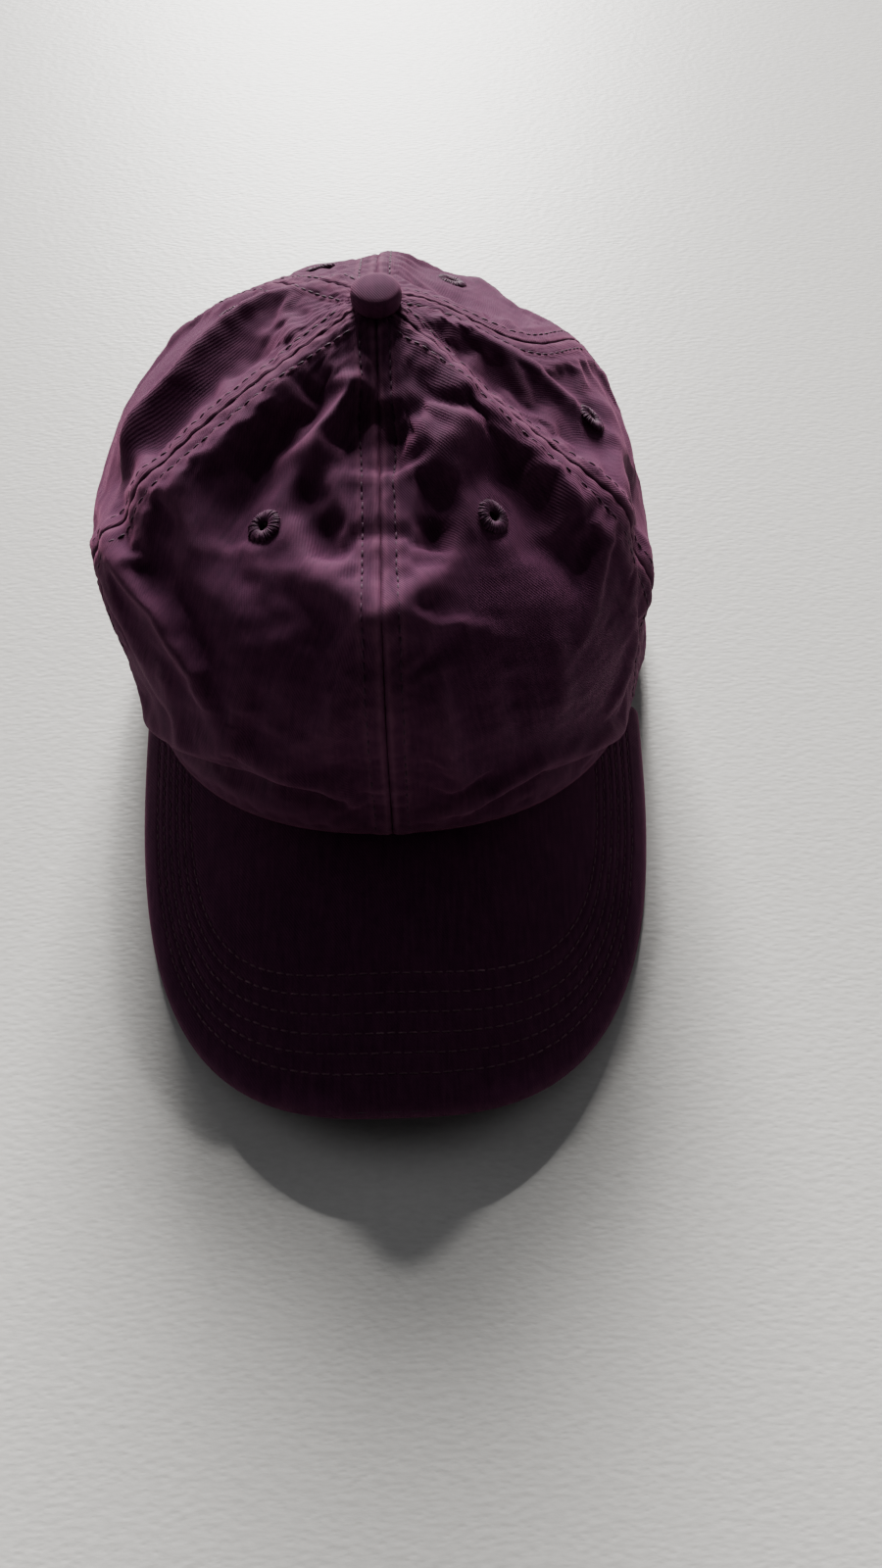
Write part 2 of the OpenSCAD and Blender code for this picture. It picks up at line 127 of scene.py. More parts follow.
# ---------------------------------------------------------------- folds
# each is (points as angle and level, height, width): a ridge, or a hollow where the height is below zero
FOLDS = [
    # the crease along the wearer's right shoulder, which runs on down the front panel
    ([(-150, .80), (-120, .69), (-95, .62), (-80, .53), (-70, .47)], 4.2, 4.6),
    ([(-70, .47), (-55, .45), (-40, .44), (-30, .38), (-25, .28)], 3.4, 3.4),
    ([(-50, .50), (-35, .48), (-25, .40)], -2.4, 6),
    ([(-100, .80), (-80, .64), (-65, .51)], -4.6, 9),
    # the hollow beside the front seam, the ridge next to it and the pocket by the centre seam
    ([(-32, .83), (-35, .70), (-33, .56)], -4.8, 6.2),
    ([(-14, .83), (-18, .77), (-22, .68)], 4.0, 3.6),
    ([(-45, .82), (-48, .68), (-54, .54)], 2.0, 5),
    ([(-8, .81), (-13, .71)], -2.8, 5),
    ([(0, .79), (1, .69)], -3.4, 9),
    # the lobe on the wearer's left of the centre seam, and what hangs below it
    ([(12, .74), (26, .71), (44, .72)], 4.6, 14),
    ([(52, .85), (51, .76), (44, .72)], 1.8, 5),
    ([(6, .76), (10, .69)], -2.4, 5),
    ([(24, .66), (48, .64)], -2.8, 6),
    ([(50, .78), (53, .65), (52, .50)], 1.8, 4.5),
    ([(44, .65), (40, .55), (46, .44)], -3.4, 8),
    ([(27, .69), (29, .65), (25, .59)], 1.8, 6),
    # the tongue between the front eyelets, with a dimple at each side of the centre seam
    ([(-15, .62), (-8, .56), (0, .53), (8, .55), (14, .61)], 4.6, 8),
    ([(-7, .51), (7, .51)], 1.6, 6),
    ([(-20, .67), (-20, .65)], -2.6, 4),
    ([(-13, .63), (-11, .61)], -4.4, 5),
    ([(16, .64), (12, .60)], -4.2, 4.4),
    ([(-4, .63), (4, .63)], -0.8, 4),
    ([(-30, .59), (-26, .55)], -1.4, 4),
    # the wearer's left side
    ([(82, .87), (92, .74), (88, .62), (80, .46)], 2.2, 3.6),
    ([(73, .74), (68, .52)], -2.6, 7),
    ([(65, .58), (62, .50), (62, .42)], 1.2, 3),
    # the fold that rolls over the visor
    ([(-55, .09), (-40, .17), (-22, .25), (-12, .20), (-2, .17)], 4.1, 5),
    ([(-52, .02), (-32, .11), (-18, .15), (0, .09)], -3.2, 5),
    ([(-9, .20), (-4, .09)], 2.7, 2.8),
    ([(5, .05), (14, .12), (24, .16), (40, .10), (55, .02)], 3.8, 3.8),
    ([(10, .05), (25, .09), (40, .04)], -2.4, 4),
    # soft upright folds in front
    ([(-7, .40), (-8, .22)], 1.3, 4),
    ([(8, .44), (10, .15)], 1.8, 4),
    ([(-18, .42), (-20, .24)], -1.3, 4),
    ([(21, .42), (21, .23)], -1.5, 4),
    ([(31, .45), (28, .24)], 1.3, 4),
    ([(-38, .36), (-31, .18)], 1.3, 3.6),
    ([(-47, .39), (-54, .22), (-52, .09)], -1.5, 4),
    ([(49, .39), (51, .27), (49, .14)], 1.3, 3.6),
    ([(54, .33), (56, .11)], -1.2, 3),
    # low on both sides
    ([(-70, .43), (-44, .38)], 2.0, 6),
    ([(-90, .49), (-48, .47)], -2.6, 8),
    ([(-104, .54), (-55, .56)], 1.9, 6),
    ([(-61, .38), (-45, .26)], -1.4, 5),
    ([(70, .40), (54, .24)], 1.7, 5),
    ([(85, .44), (54, .38)], -2.4, 7),
    ([(102, .50), (61, .48)], 2.0, 6),
    # the back, out of the photo's sight, is made up to match
    ([(128, .50), (133, .36), (130, .24)], -2.2, 7),
    ([(146, .60), (150, .48), (146, .38)], 2.0, 7),
    ([(166, .60), (160, .50), (163, .42)], -2.0, 6),
    ([(-128, .52), (-132, .38), (-128, .24)], 1.8, 6),
    ([(-144, .56), (-150, .45), (-147, .34)], -2.4, 7),
    ([(-164, .62), (-160, .52), (-165, .44)], 1.7, 6),
    ([(-150, .78), (-135, .70), (-124, .62)], -1.8, 6),
    ([(150, .80), (138, .72), (127, .66)], -1.8, 6),
    ([(172, .80), (176, .68), (170, .58)], 1.6, 6),
    ([(-80, .82), (-108, .72)], 1.2, 4),
]


# a line shorter than this is a dimple, and doesn't fade at its ends
DIMPLE = 11.0


def fold_height(points):
    """How high the folds stand at points, in millimetres, all added up."""
    total = np.zeros(points.shape[:-1])
    for line, height, width in FOLDS:
        knots = np.array(line, float)
        fine = np.linspace(0, len(knots) - 1, 4 * (len(knots) - 1) + 1)
        track = crown_base(*(np.interp(fine, range(len(knots)), knots[:, k]) for k in (0, 1)))
        near, where = np.full(total.shape, 1e9), np.zeros(total.shape)
        for i in range(len(track) - 1):
            a, b = track[i], track[i + 1]
            d = b - a
            u = np.clip(((points - a) @ d) / (d @ d), 0, 1)
            gap = np.linalg.norm(points - (a + u[..., None] * d), axis=-1)
            closer = gap < near
            near = np.where(closer, gap, near)
            where = np.where(closer, (i + u) / (len(track) - 1), where)
        length = np.linalg.norm(np.diff(track, axis=0), axis=-1).sum()
        fade = smooth(where / 0.25) * smooth((1 - where) / 0.25) if length > DIMPLE else 1.0
        total += height * (0.25 + 0.75 * fade) * np.exp(-(near / width) ** 2)
    return total


# ---------------------------------------------------------------- the crown as a grid of points
T_CELLS, S_CELLS, S_TOP = 720, 220, 0.975
T_AXIS = np.arange(T_CELLS) * 360 / T_CELLS - 180
S_AXIS = np.linspace(0, S_TOP, S_CELLS)


def grid_normals(points):
    along = np.roll(points, -1, 0) - np.roll(points, 1, 0)
    up = np.gradient(points, axis=1)
    n = np.cross(along, up)
    return n / np.maximum(np.linalg.norm(n, axis=-1, keepdims=True), 1e-9)


def blur(grid, steps):
    for _ in range(steps):
        padded = np.concatenate([grid[:, :1], grid, grid[:, -1:]], 1)
        grid = (np.roll(grid, 1, 0) + np.roll(grid, -1, 0) + 2 * grid + padded[:, :-2] + padded[:, 2:]) / 6
    return grid


def wave_noise(seed, count, low, high):
    """A smooth, repeatable function of angle and level, about -1 to 1."""
    r = np.random.default_rng(seed)
    ks, kt = r.uniform(low, high, count), r.integers(2, int(high / 2) + 3, count)
    phase, sign = r.uniform(0, 2 * np.pi, count), r.choice([-1, 1], count)

    def noise(t, s):
        return sum(np.sin(k1 * s * 2 + g * k2 * np.radians(t) + p)
                   for k1, k2, p, g in zip(ks, kt, phase, sign)) / math.sqrt(count)
    return noise


T_GRID, S_GRID = np.meshgrid(T_AXIS, S_AXIS, indexing="ij")
base = crown_base(T_GRID, S_GRID)
base_n = grid_normals(base)
quiet_hem = smooth(S_GRID / 0.10)
quiet_top = 0.3 + 0.7 * smooth((S_TOP - S_GRID) / 0.12)
soft = wave_noise(5, 9, 4, 11)(T_GRID, S_GRID)
raised = (fold_height(base) * (0.25 + 0.75 * quiet_hem) + 0.5 * soft * quiet_hem) * quiet_top
shape = base + base_n * raised[..., None]
table = {"P": shape}

# ---------------------------------------------------------------- the cloth simulation
# it takes every third point, at ten times the size, for 28 frames, and moves none further than 2.8 mm
SIM_STEP, SIM_SCALE, SIM_FRAMES, MOST_MOVE = 3, 10, 28, 2.8
# the cloth is this much too large for its form, and its seams are held this firmly
SIM_EXCESS, SEAM_HOLD, LEAST_HOLD = 0.024, 0.9, 0.10
# below this level the cloth is kept from moving inwards, where the sweatband stands
INWARD_FROM = 0.26


def simulate(points):
    """Lets the crown's cloth settle: slightly too large for its form, held at its hem, seams and top."""
    coarse = points[::SIM_STEP, ::SIM_STEP]
    rows, cols = coarse.shape[1], coarse.shape[0]
    index = np.arange(cols * rows).reshape(cols, rows)
    right = np.roll(index, -1, 0)
    faces = np.stack([index[:, :-1], right[:, :-1], right[:, 1:], index[:, 1:]], -1).reshape(-1, 4)
    mesh = bpy.data.meshes.new("settling")
    mesh.from_pydata((coarse.reshape(-1, 3) * MM * SIM_SCALE).tolist(), [], faces.tolist())
    cloth = bpy.data.objects.new("settling", mesh)
    bpy.context.scene.collection.objects.link(cloth)
    t, s = T_GRID[::SIM_STEP, ::SIM_STEP], S_GRID[::SIM_STEP, ::SIM_STEP]
    to_seam = np.abs(seam_distance(t, s)[0])
    hold = np.maximum.reduce([1 - smooth(s / 0.05), smooth((s - 0.88) / 0.05),
                              SEAM_HOLD * (1 - smooth((to_seam - 2) / 14)), np.full(s.shape, LEAST_HOLD)])
    group = cloth.vertex_groups.new(name="hold")
    for i, w in enumerate(hold.reshape(-1)):
        group.add([i], float(w), "REPLACE")
    mod = cloth.modifiers.new("cloth", "CLOTH")
    c = mod.settings
    c.quality, c.mass = 6, 0.4
    c.tension_stiffness = c.compression_stiffness = 25
    c.shear_stiffness, c.bending_stiffness = 12, 1.6
    c.tension_damping = c.compression_damping = c.shear_damping = 12
    c.vertex_group_mass, c.pin_stiffness = "hold", 1.6
    c.shrink_min = c.shrink_max = -SIM_EXCESS
    c.effector_weights.gravity = 0.25
    mod.collision_settings.use_collision = False
    mod.collision_settings.use_self_collision = False
    scene = bpy.context.scene
    mod.point_cache.frame_start, mod.point_cache.frame_end = 1, SIM_FRAMES
    for f in range(1, SIM_FRAMES + 1):
        scene.frame_set(f)
    settled = cloth.evaluated_get(bpy.context.evaluated_depsgraph_get()).to_mesh()
    co = np.zeros(cols * rows * 3)
    settled.vertices.foreach_get("co", co)
    moved = co.reshape(cols, rows, 3) / MM / SIM_SCALE - coarse
    size = np.linalg.norm(moved, axis=-1, keepdims=True)
    moved *= MOST_MOVE * np.tanh(size / MOST_MOVE) / np.maximum(size, 1e-6)
    inward = (moved * grid_normals(coarse)).sum(-1, keepdims=True) < 0
    moved *= np.where(inward, smooth((s - INWARD_FROM) / 0.12)[..., None], 1)
    bpy.data.objects.remove(cloth)
    scene.frame_set(1)
    return spread(moved)


def spread(coarse):
    """A coarse grid of moves, smoothly filled in to the full grid."""
    def cubic(values, count, around):
        pos = np.arange(count) / SIM_STEP
        i = np.floor(pos).astype(int)
        f = (pos - i)[:, None, None]
        n = len(values)

        def at(k):
            return values[k % n] if around else values[np.clip(k, 0, n - 1)]
        a, b, c, d = at(i - 1), at(i), at(i + 1), at(i + 2)
        return b + 0.5 * f * (c - a + f * (2 * a - 5 * b + 4 * c - d + f * (3 * (b - c) + d - a)))
    wide = cubic(coarse, T_CELLS, True)
    return cubic(wide.transpose(1, 0, 2), S_CELLS, False).transpose(1, 0, 2)


def look_up(name, t, s):
    """The value of one of the grids at any angle and level."""
    grid = table[name]
    ft, fs = (wrap(t) + 180) / 360 * T_CELLS, np.clip(np.asarray(s, float) / S_TOP, 0, 1) * (S_CELLS - 1)
    it, js = np.floor(ft).astype(int), np.minimum(np.floor(fs).astype(int), S_CELLS - 2)
    u, v = (ft - it)[..., None], (fs - js)[..., None]
    a, b = it % T_CELLS, (it + 1) % T_CELLS
    return ((1 - u) * (1 - v) * grid[a, js] + u * (1 - v) * grid[b, js]
            + (1 - u) * v * grid[a, js + 1] + u * v * grid[b, js + 1])


def level_normals(n, s):
    """Near the hem the cloth's thickness lies level, so that its edge stays at the hem's own height."""
    flat = n * [1, 1, 0]
    flat /= np.maximum(np.linalg.norm(flat, axis=-1, keepdims=True), 1e-9)
    w = smooth(np.asarray(s, float) / 0.03)[..., None]
    mixed = flat * (1 - w) + n * w
    return mixed / np.linalg.norm(mixed, axis=-1, keepdims=True)


# a seam's length from hem to top, and how far its rows of stitches lie to each side of it
ARC, STITCH_ROW = 165.0, 4.5
# how many degrees the seams behind the wearer's right and left ear have slipped
SLIP_RIGHT, SLIP_LEFT = -24, -19
rough_a, rough_b = wave_noise(21, 10, 30, 75), wave_noise(22, 10, 60, 140)


def slipped(t, s):
    """Where the cloth's own angle t lies once the crown has slumped: two of the seams have slipped."""
    right = SLIP_RIGHT * smooth((s - 0.16) / 0.5) * (1 - smooth((s - 0.86) / 0.10))
    left = SLIP_LEFT * np.exp(-((s - 0.665) / 0.12) ** 2)
    t = wrap(t)
    near_right, near_left = (np.clip(1 - np.abs(t - seam) / 60, 0, 1) for seam in (-120, 120))
    return t + right * near_right + left * near_left


def seam_distance(t, s):
    """Signed distance in millimetres to the nearest panel seam, and which seam it is."""
    r = np.maximum(hem_radius(t) * profile(s), 2.0)
    all_d = np.stack([np.radians(wrap(t - slipped(a, s))) * r for a in SEAMS])
    which = np.abs(all_d).argmin(0)
    return np.take_along_axis(all_d, which[None], 0)[0], which


table["P"] = shape + simulate(shape)
table["N"] = grid_normals(blur(table["P"], 2))


def seam_relief(t, s):
    """Height of the sewn seams: a groove, two padded welts, dimples under the stitches and puckers between."""
    d, which = seam_distance(t, s)
    run, side = s * ARC, np.sign(d)
    fade = smooth((0.965 - s) / 0.03)
    puck = (0.6 * np.sin(run * 2 * np.pi / 7.3 + which * 1.7 + side * 0.9 + 1.6 * np.sin(run / 9.0 + which))
            + 0.4 * np.sin(run * 2 * np.pi / 4.1 + which * 2.9 - side * 1.3 + 1.2 * np.sin(run / 5.0)))
    puck *= 0.55 + 0.45 * np.sin(run / 21.0 + which * 2.1 + side)
    welt = 0.38 * (1 - smooth((np.abs(d) - STITCH_ROW - 0.3) / 1.2))
    groove = -0.4 * np.exp(-(d / 0.45) ** 2)
    row = -0.32 * np.exp(-((np.abs(d) - STITCH_ROW) / 0.55) ** 2)
    between = np.exp(-((np.abs(d) - 2.4) / 1.7) ** 2)
    beyond = np.exp(-((np.abs(d) - 7.2) / 2.0) ** 2)
    return fade * (welt + groove + row + 0.22 * puck * between + 0.10 * puck * beyond)


# where each eyelet lies on the slumped crown, as angle and level
EYELETS = {"eyelet_front_left": (31, 0.61), "eyelet_front_right": (-27, 0.62),
           "eyelet_side_left": (85, 0.54), "eyelet_side_right": (-122, 0.66),
           "eyelet_back_left": (150, 0.62), "eyelet_back_right": (-161, 0.64)}


def cloth_relief(t, s):
    """All the fine relief of the crown's outside."""
    rough = 0.10 * rough_a(t, s) + 0.05 * rough_b(t, s)
    pts = look_up("P", t, s)
    dip = np.zeros(np.shape(pts)[:-1])
    for te, se in EYELETS.values():
        gap = np.linalg.norm(pts - look_up("P", np.array(te), np.array(se)), axis=-1)
        dip += -0.28 * np.exp(-((gap - 5.6) / 1.0) ** 2) + 0.2 * np.exp(-((gap - 7.6) / 1.6) ** 2)
    hem = -0.5 * np.exp(-((s * ARC - 1.0) / 1.1) ** 2)
    return seam_relief(t, s) + rough * smooth(s / 0.05) + dip + hem


def on_crown(t, s, out=0.0, relief=True):
    """A point at distance out from the crown's outside, in the shared frame, in millimetres."""
    t, s = np.broadcast_arrays(np.asarray(t, float), np.asarray(s, float))
    n = level_normals(look_up("N", t, s), s)
    h = (cloth_relief(t, s) if relief else 0.0) + out
    return look_up("P", t, s) + n * np.asarray(h)[..., None] + [0, CENTRE_Y, 0]


def crown_normal(t, s):
    t, s = np.broadcast_arrays(np.asarray(t, float), np.asarray(s, float))
    return level_normals(look_up("N", t, s), s)


# ---------------------------------------------------------------- mesh helpers
def link(obj):
    bpy.context.scene.collection.objects.link(obj)
    return obj


def make(name, verts, faces, mat, uv=None, attrs=None):
    """A mesh piece from points in millimetres."""
    mesh = bpy.data.meshes.new(name)
    verts = np.asarray(verts, float).reshape(-1, 3)
    mesh.from_pydata((verts * MM).tolist(), [], [list(map(int, f)) for f in faces])
    if uv is not None:
        layer = mesh.uv_layers.new(name="weave")
        loops = np.zeros(len(mesh.loops), np.int64)
        mesh.loops.foreach_get("vertex_index", loops)
        layer.data.foreach_set("uv", np.asarray(uv, np.float32).reshape(-1, 2)[loops].ravel())
    for key, values in (attrs or {}).items():
        a = mesh.attributes.new(key, "FLOAT", "POINT")
        a.data.foreach_set("value", np.asarray(values, np.float32).ravel())
    mesh.polygons.foreach_set("use_smooth", [True] * len(mesh.polygons))
    mesh.materials.append(mat)
    mesh.update()
    return link(bpy.data.objects.new(name, mesh))


def grid_faces(n, m, start=0, flip=False, around=False):
    i = np.arange(n * m).reshape(n, m) + start
    j = np.roll(i, -1, 0) if around else i[1:]
    i = i if around else i[:-1]
    quad = np.stack([i[:, :-1], j[:, :-1], j[:, 1:], i[:, 1:]], -1).reshape(-1, 4)
    return quad[:, ::-1] if flip else quad


def shell(outside, inside, around=False):
    """Two matching grids of points joined round their edges: vertices and faces of a closed sheet."""
    n, m = outside.shape[:2]
    k = n * m
    faces = [grid_faces(n, m, 0, False, around), grid_faces(n, m, k, True, around)]
    idx = np.arange(k).reshape(n, m)

    def strip(a, flip):
        q = np.stack([a[:-1], a[1:], a[1:] + k, a[:-1] + k], -1)
        return q if flip else q[:, ::-1]
    if around:
        ring0, ring1 = np.append(idx[:, 0], idx[0, 0]), np.append(idx[:, -1], idx[0, -1])
        faces += [strip(ring0, False), strip(ring1, True)]
    else:
        faces += [strip(idx[:, 0], False), strip(idx[:, -1], True)]
        faces += [strip(idx[0], True), strip(idx[-1], False)]
    return np.concatenate([outside.reshape(-1, 3), inside.reshape(-1, 3)]), np.concatenate(faces)


def tube_faces(rows, around, start=0, flip=False):
    """The faces of a closed tube whose points come as rings, one ring after the other."""
    i = start + np.arange(rows * around).reshape(rows, around)
    j = np.roll(i, -1, 1)
    if flip:
        quads, ends = np.stack([i[:-1], i[1:], j[1:], j[:-1]], -1), (i[0], i[-1][::-1])
    else:
        quads, ends = np.stack([i[:-1], j[:-1], j[1:], i[1:]], -1), (i[0][::-1], i[-1])
    return quads.reshape(-1, 4).tolist() + [end.tolist() for end in ends]


def twice(values):
    """One value per point of a sheet's outside, given to its inside too."""
    return np.concatenate([np.asarray(values).ravel()] * 2)


def flat_uv(u, v):
    """The weave's coordinates in centimetres, for both sides of a sheet."""
    return np.concatenate([np.stack([u, v], -1).reshape(-1, 2)] * 2)


def unit(v):
    return v / np.maximum(np.linalg.norm(v, axis=-1, keepdims=True), 1e-9)


def resample(points, pitch):
    """Points at an even pitch along a line."""
    seg = np.linalg.norm(np.diff(points, axis=0), axis=1)
    along = np.concatenate([[0], np.cumsum(seg)])
    count = max(int(along[-1] / pitch), 2)
    at = np.linspace(0, along[-1], count + 1)
    return np.stack([np.interp(at, along, points[:, k]) for k in range(3)], -1)


def thread(lines, pitch=3.0, length=2.45, radius=0.26, lift=0.12, seed=3):
    """Stitches along lines of (points, normals): short tapered lengths that dive in at both ends."""
    rng = np.random.default_rng(seed)
    profile_u = np.array([-0.5, -0.44, -0.25, 0, 0.25, 0.44, 0.5])
    fat = np.array([0.35, 0.8, 1.0, 1.0, 1.0, 0.8, 0.35])
    height = np.array([-0.40, -0.10, 0.05, 0.10, 0.05, -0.10, -0.40])
    sides = 6
    ring = np.linspace(0, 2 * np.pi, sides, endpoint=False)
    verts, faces = [], []
    for points, normals in lines:
        both = resample(points, pitch)
        seg = np.linalg.norm(np.diff(points, axis=0), axis=1)
        along = np.concatenate([[0], np.cumsum(seg)])
        at = np.linspace(0, along[-1], len(both))
        nrm = unit(np.stack([np.interp(at, along, normals[:, k]) for k in range(3)], -1))
        for k in range(len(both) - 1):
            a, b = both[k], both[k + 1]
            n, d = unit(nrm[k] + nrm[k + 1]), unit(b - a)
            side = np.cross(d, n)
            mid = (a + b) / 2 + side * rng.normal(0, 0.07)
            span = length * min(1.0, np.linalg.norm(b - a) / pitch) * rng.uniform(0.94, 1.05)
            start = len(verts) * sides
            for u, f, h in zip(profile_u, fat, height):
                c = mid + d * u * span + n * (lift + h * (radius / 0.26))
                round_it = np.cos(ring)[:, None] * side + np.sin(ring)[:, None] * n * 0.8
                verts.append(c + radius * f * round_it)
            faces += tube_faces(len(profile_u), sides, start)
    return np.concatenate(verts), faces


def sew(name, lines, mat, body="cap", **how):
    """One piece of stitches, riding on its body."""
    verts, faces = thread(lines, **how)
    obj = make(name, verts, faces, mat)
    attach(obj, body)


def tube_ring(points, normals, outline, closed=False):
    """Sweeps an outline of (across, out) offsets along a line, as a closed solid."""
    run = np.roll(points, -1, 0) - np.roll(points, 1, 0) if closed else np.gradient(points, axis=0)
    tangent = unit(run)
    n = unit(normals - (normals * tangent).sum(-1, keepdims=True) * tangent)
    side = np.cross(tangent, n)
    outline = np.asarray(outline, float)
    verts = points[:, None] + outline[None, :, :1] * side[:, None] + outline[None, :, 1:] * n[:, None]
    rows, m = verts.shape[:2]
    if closed:
        i = np.arange(rows * m).reshape(rows, m)
        j = np.roll(i, -1, 1)
        faces = np.stack([i, j, np.roll(j, -1, 0), np.roll(i, -1, 0)], -1).reshape(-1, 4).tolist()
    else:
        faces = tube_faces(rows, m)
    return verts.reshape(-1, 3), faces


def joined(parts):
    """Several (vertices, faces) sets as one."""
    verts, faces, start = [], [], 0
    for v, f in parts:
        verts.append(np.asarray(v, float).reshape(-1, 3))
        faces += [[int(i) + start for i in face] for face in f]
        start += len(verts[-1])
    return np.concatenate(verts), faces


# ---------------------------------------------------------------- materials
class Nodes:
    """A short way to write a node material."""

    def __init__(self, name):
        self.mat = bpy.data.materials.new(name)
        self.mat.use_nodes = True
        self.tree = self.mat.node_tree
        self.tree.nodes.clear()
        self.bsdf = self.add("ShaderNodeBsdfPrincipled")
        out = self.add("ShaderNodeOutputMaterial")
        self.wire(self.bsdf.outputs[0], out.inputs["Surface"])

    def add(self, kind, **values):
        node = self.tree.nodes.new(kind)
        for key, value in values.items():
            if hasattr(node, key):
                setattr(node, key, value)
            else:
                node.inputs[key.replace("_", " ")].default_value = value
        return node

    def wire(self, a, b):
        self.tree.links.new(a, b)

    def math(self, op, a, b=None, c=None, clamp=False):
        node = self.add("ShaderNodeMath", operation=op, use_clamp=clamp)
        for k, v in enumerate((a, b, c)):
            if v is None:
                continue
            if isinstance(v, (int, float)):
                node.inputs[k].default_value = v
            else:
                self.wire(v, node.inputs[k])
        return node.outputs[0]

    def noise(self, vector, scale, detail=3.0, rough=0.55):
        node = self.add("ShaderNodeTexNoise", Scale=scale, Detail=detail, Roughness=rough)
        self.wire(vector, node.inputs["Vector"])
        return node.outputs["Fac"]

    def ramp(self, fac, stops):
        node = self.add("ShaderNodeValToRGB")
        ramp = node.color_ramp
        while len(ramp.elements) < len(stops):
            ramp.elements.new(0.5)
        for e, (at, colour) in zip(ramp.elements, stops):
            e.position, e.color = at, (*colour, 1)
        self.wire(fac, node.inputs["Fac"])
        return node.outputs["Color"]

    def mix(self, fac, a, b):
        node = self.add("ShaderNodeMix", data_type="RGBA", blend_type="MIX")
        for socket, v in ((node.inputs[0], fac), (node.inputs[6], a), (node.inputs[7], b)):
            if isinstance(v, (int, float)):
                socket.default_value = v
            elif isinstance(v, tuple):
                socket.default_value = (*v, 1)
            else:
                self.wire(v, socket)
        return node.outputs[2]

    def bump(self, height, strength, distance):
        node = self.add("ShaderNodeBump", Strength=strength, Distance=distance)
        self.wire(height, node.inputs["Height"])
        return node.outputs["Normal"]

    def set(self, **values):
        for key, value in values.items():
            self.bsdf.inputs[key.replace("_", " ")].default_value = value

    def done(self, colour=None, rough=None, normal=None):
        for name, v in (("Base Color", colour), ("Roughness", rough), ("Normal", normal)):
            if v is not None:
                self.wire(v, self.bsdf.inputs[name])
        return self.mat


PLUM = (0.066, 0.0160, 0.048)
PLUM_DEEP = (0.032, 0.0072, 0.027)
PLUM_WORN = (0.16, 0.056, 0.105)


# the distance from rib to rib of the twill, and from yarn to yarn, in millimetres
RIB, YARN = 0.62, 0.34


def twill(name):
    """Washed cotton twill: slanting ribs crossed by yarns, faded where it rubs, with a soft nap."""
    m = Nodes(name)
    coord = m.add("ShaderNodeUVMap", uv_map="weave").outputs["UV"]
    obj = m.add("ShaderNodeTexCoord").outputs["Object"]
    split = m.add("ShaderNodeSeparateXYZ")
    m.wire(coord, split.inputs[0])
    x, y = (m.math("MULTIPLY", split.outputs[k], 10) for k in (0, 1))
    wander = m.noise(obj, 160, 2)
    slant = m.math("ADD", m.math("MULTIPLY", x, 0.84), m.math("MULTIPLY", y, 0.54))
    slant = m.math("ADD", slant, m.math("MULTIPLY", wander, 0.35))
    rib = m.math("SINE", m.math("MULTIPLY", slant, 2 * math.pi / RIB))
    yarn = m.math("SINE", m.math("MULTIPLY", y, 2 * math.pi / YARN))
    rib = m.math("MULTIPLY_ADD", rib, 0.5, 0.5)
    yarn = m.math("MULTIPLY_ADD", yarn, 0.5, 0.5)
    fuzz, slub, cloud = m.noise(obj, 2600, 4, 0.7), m.noise(obj, 330, 3), m.noise(obj, 26, 3)
    crossing = m.math("MULTIPLY", rib, yarn)
    height = m.math("ADD", m.math("MULTIPLY", rib, 0.62), m.math("MULTIPLY", crossing, 0.2))
    height = m.math("ADD", height, m.math("MULTIPLY", fuzz, 0.75))
    streaked = m.add("ShaderNodeCombineXYZ")
    m.wire(x, streaked.inputs[0])
    m.wire(m.math("MULTIPLY", y, 0.09), streaked.inputs[1])
    streak = m.noise(streaked.outputs[0], 0.9, 4, 0.65)
    tone = m.math("ADD", m.math("MULTIPLY", rib, 0.08), m.math("MULTIPLY", fuzz, 0.34))
    tone = m.math("ADD", tone, m.math("MULTIPLY", m.math("SUBTRACT", streak, 0.5), 0.55))
    tone = m.math("ADD", tone, m.math("MULTIPLY", slub, 0.26))
    tone = m.math("ADD", tone, m.math("MULTIPLY", cloud, 0.34))
    pale = tuple(0.45 * a + 0.55 * b for a, b in zip(PLUM, PLUM_WORN))
    colour = m.ramp(tone, [(0.30, PLUM_DEEP), (0.56, PLUM), (0.92, pale)])
    wear = m.add("ShaderNodeAttribute", attribute_name="wear").outputs["Fac"]
    rub = m.math("MULTIPLY", wear, m.math("MULTIPLY_ADD", slub, 1.3, 0.2), clamp=True)
    colour = m.mix(rub, colour, PLUM_WORN)
    rough = m.math("MULTIPLY_ADD", slub, 0.14, 0.78)
    normal = m.bump(height, 0.42, 0.00022)
    m.set(Specular_IOR_Level=0.10, Sheen_Weight=0.20, Sheen_Roughness=0.36, Sheen_Tint=(0.85, 0.27, 0.50, 1))
    return m.done(colour, rough, normal)


def thread_material(name, colour, worn):
    m = Nodes(name)
    obj = m.add("ShaderNodeTexCoord").outputs["Object"]
    fine, broad = (m.math("MULTIPLY", m.noise(obj, scale, 2), 0.5) for scale in (900, 60))
    tone = m.math("ADD", fine, broad)
    paint = m.ramp(tone, [(0.3, tuple(0.6 * c for c in colour)), (0.55, colour), (0.8, worn)])
    m.set(Specular_IOR_Level=0.2, Sheen_Weight=0.12, Sheen_Roughness=0.4, Sheen_Tint=(0.8, 0.3, 0.5, 1))
    return m.done(paint, m.math("MULTIPLY_ADD", tone, 0.2, 0.55), m.bump(m.noise(obj, 3000, 2), 0.4, 0.0001))


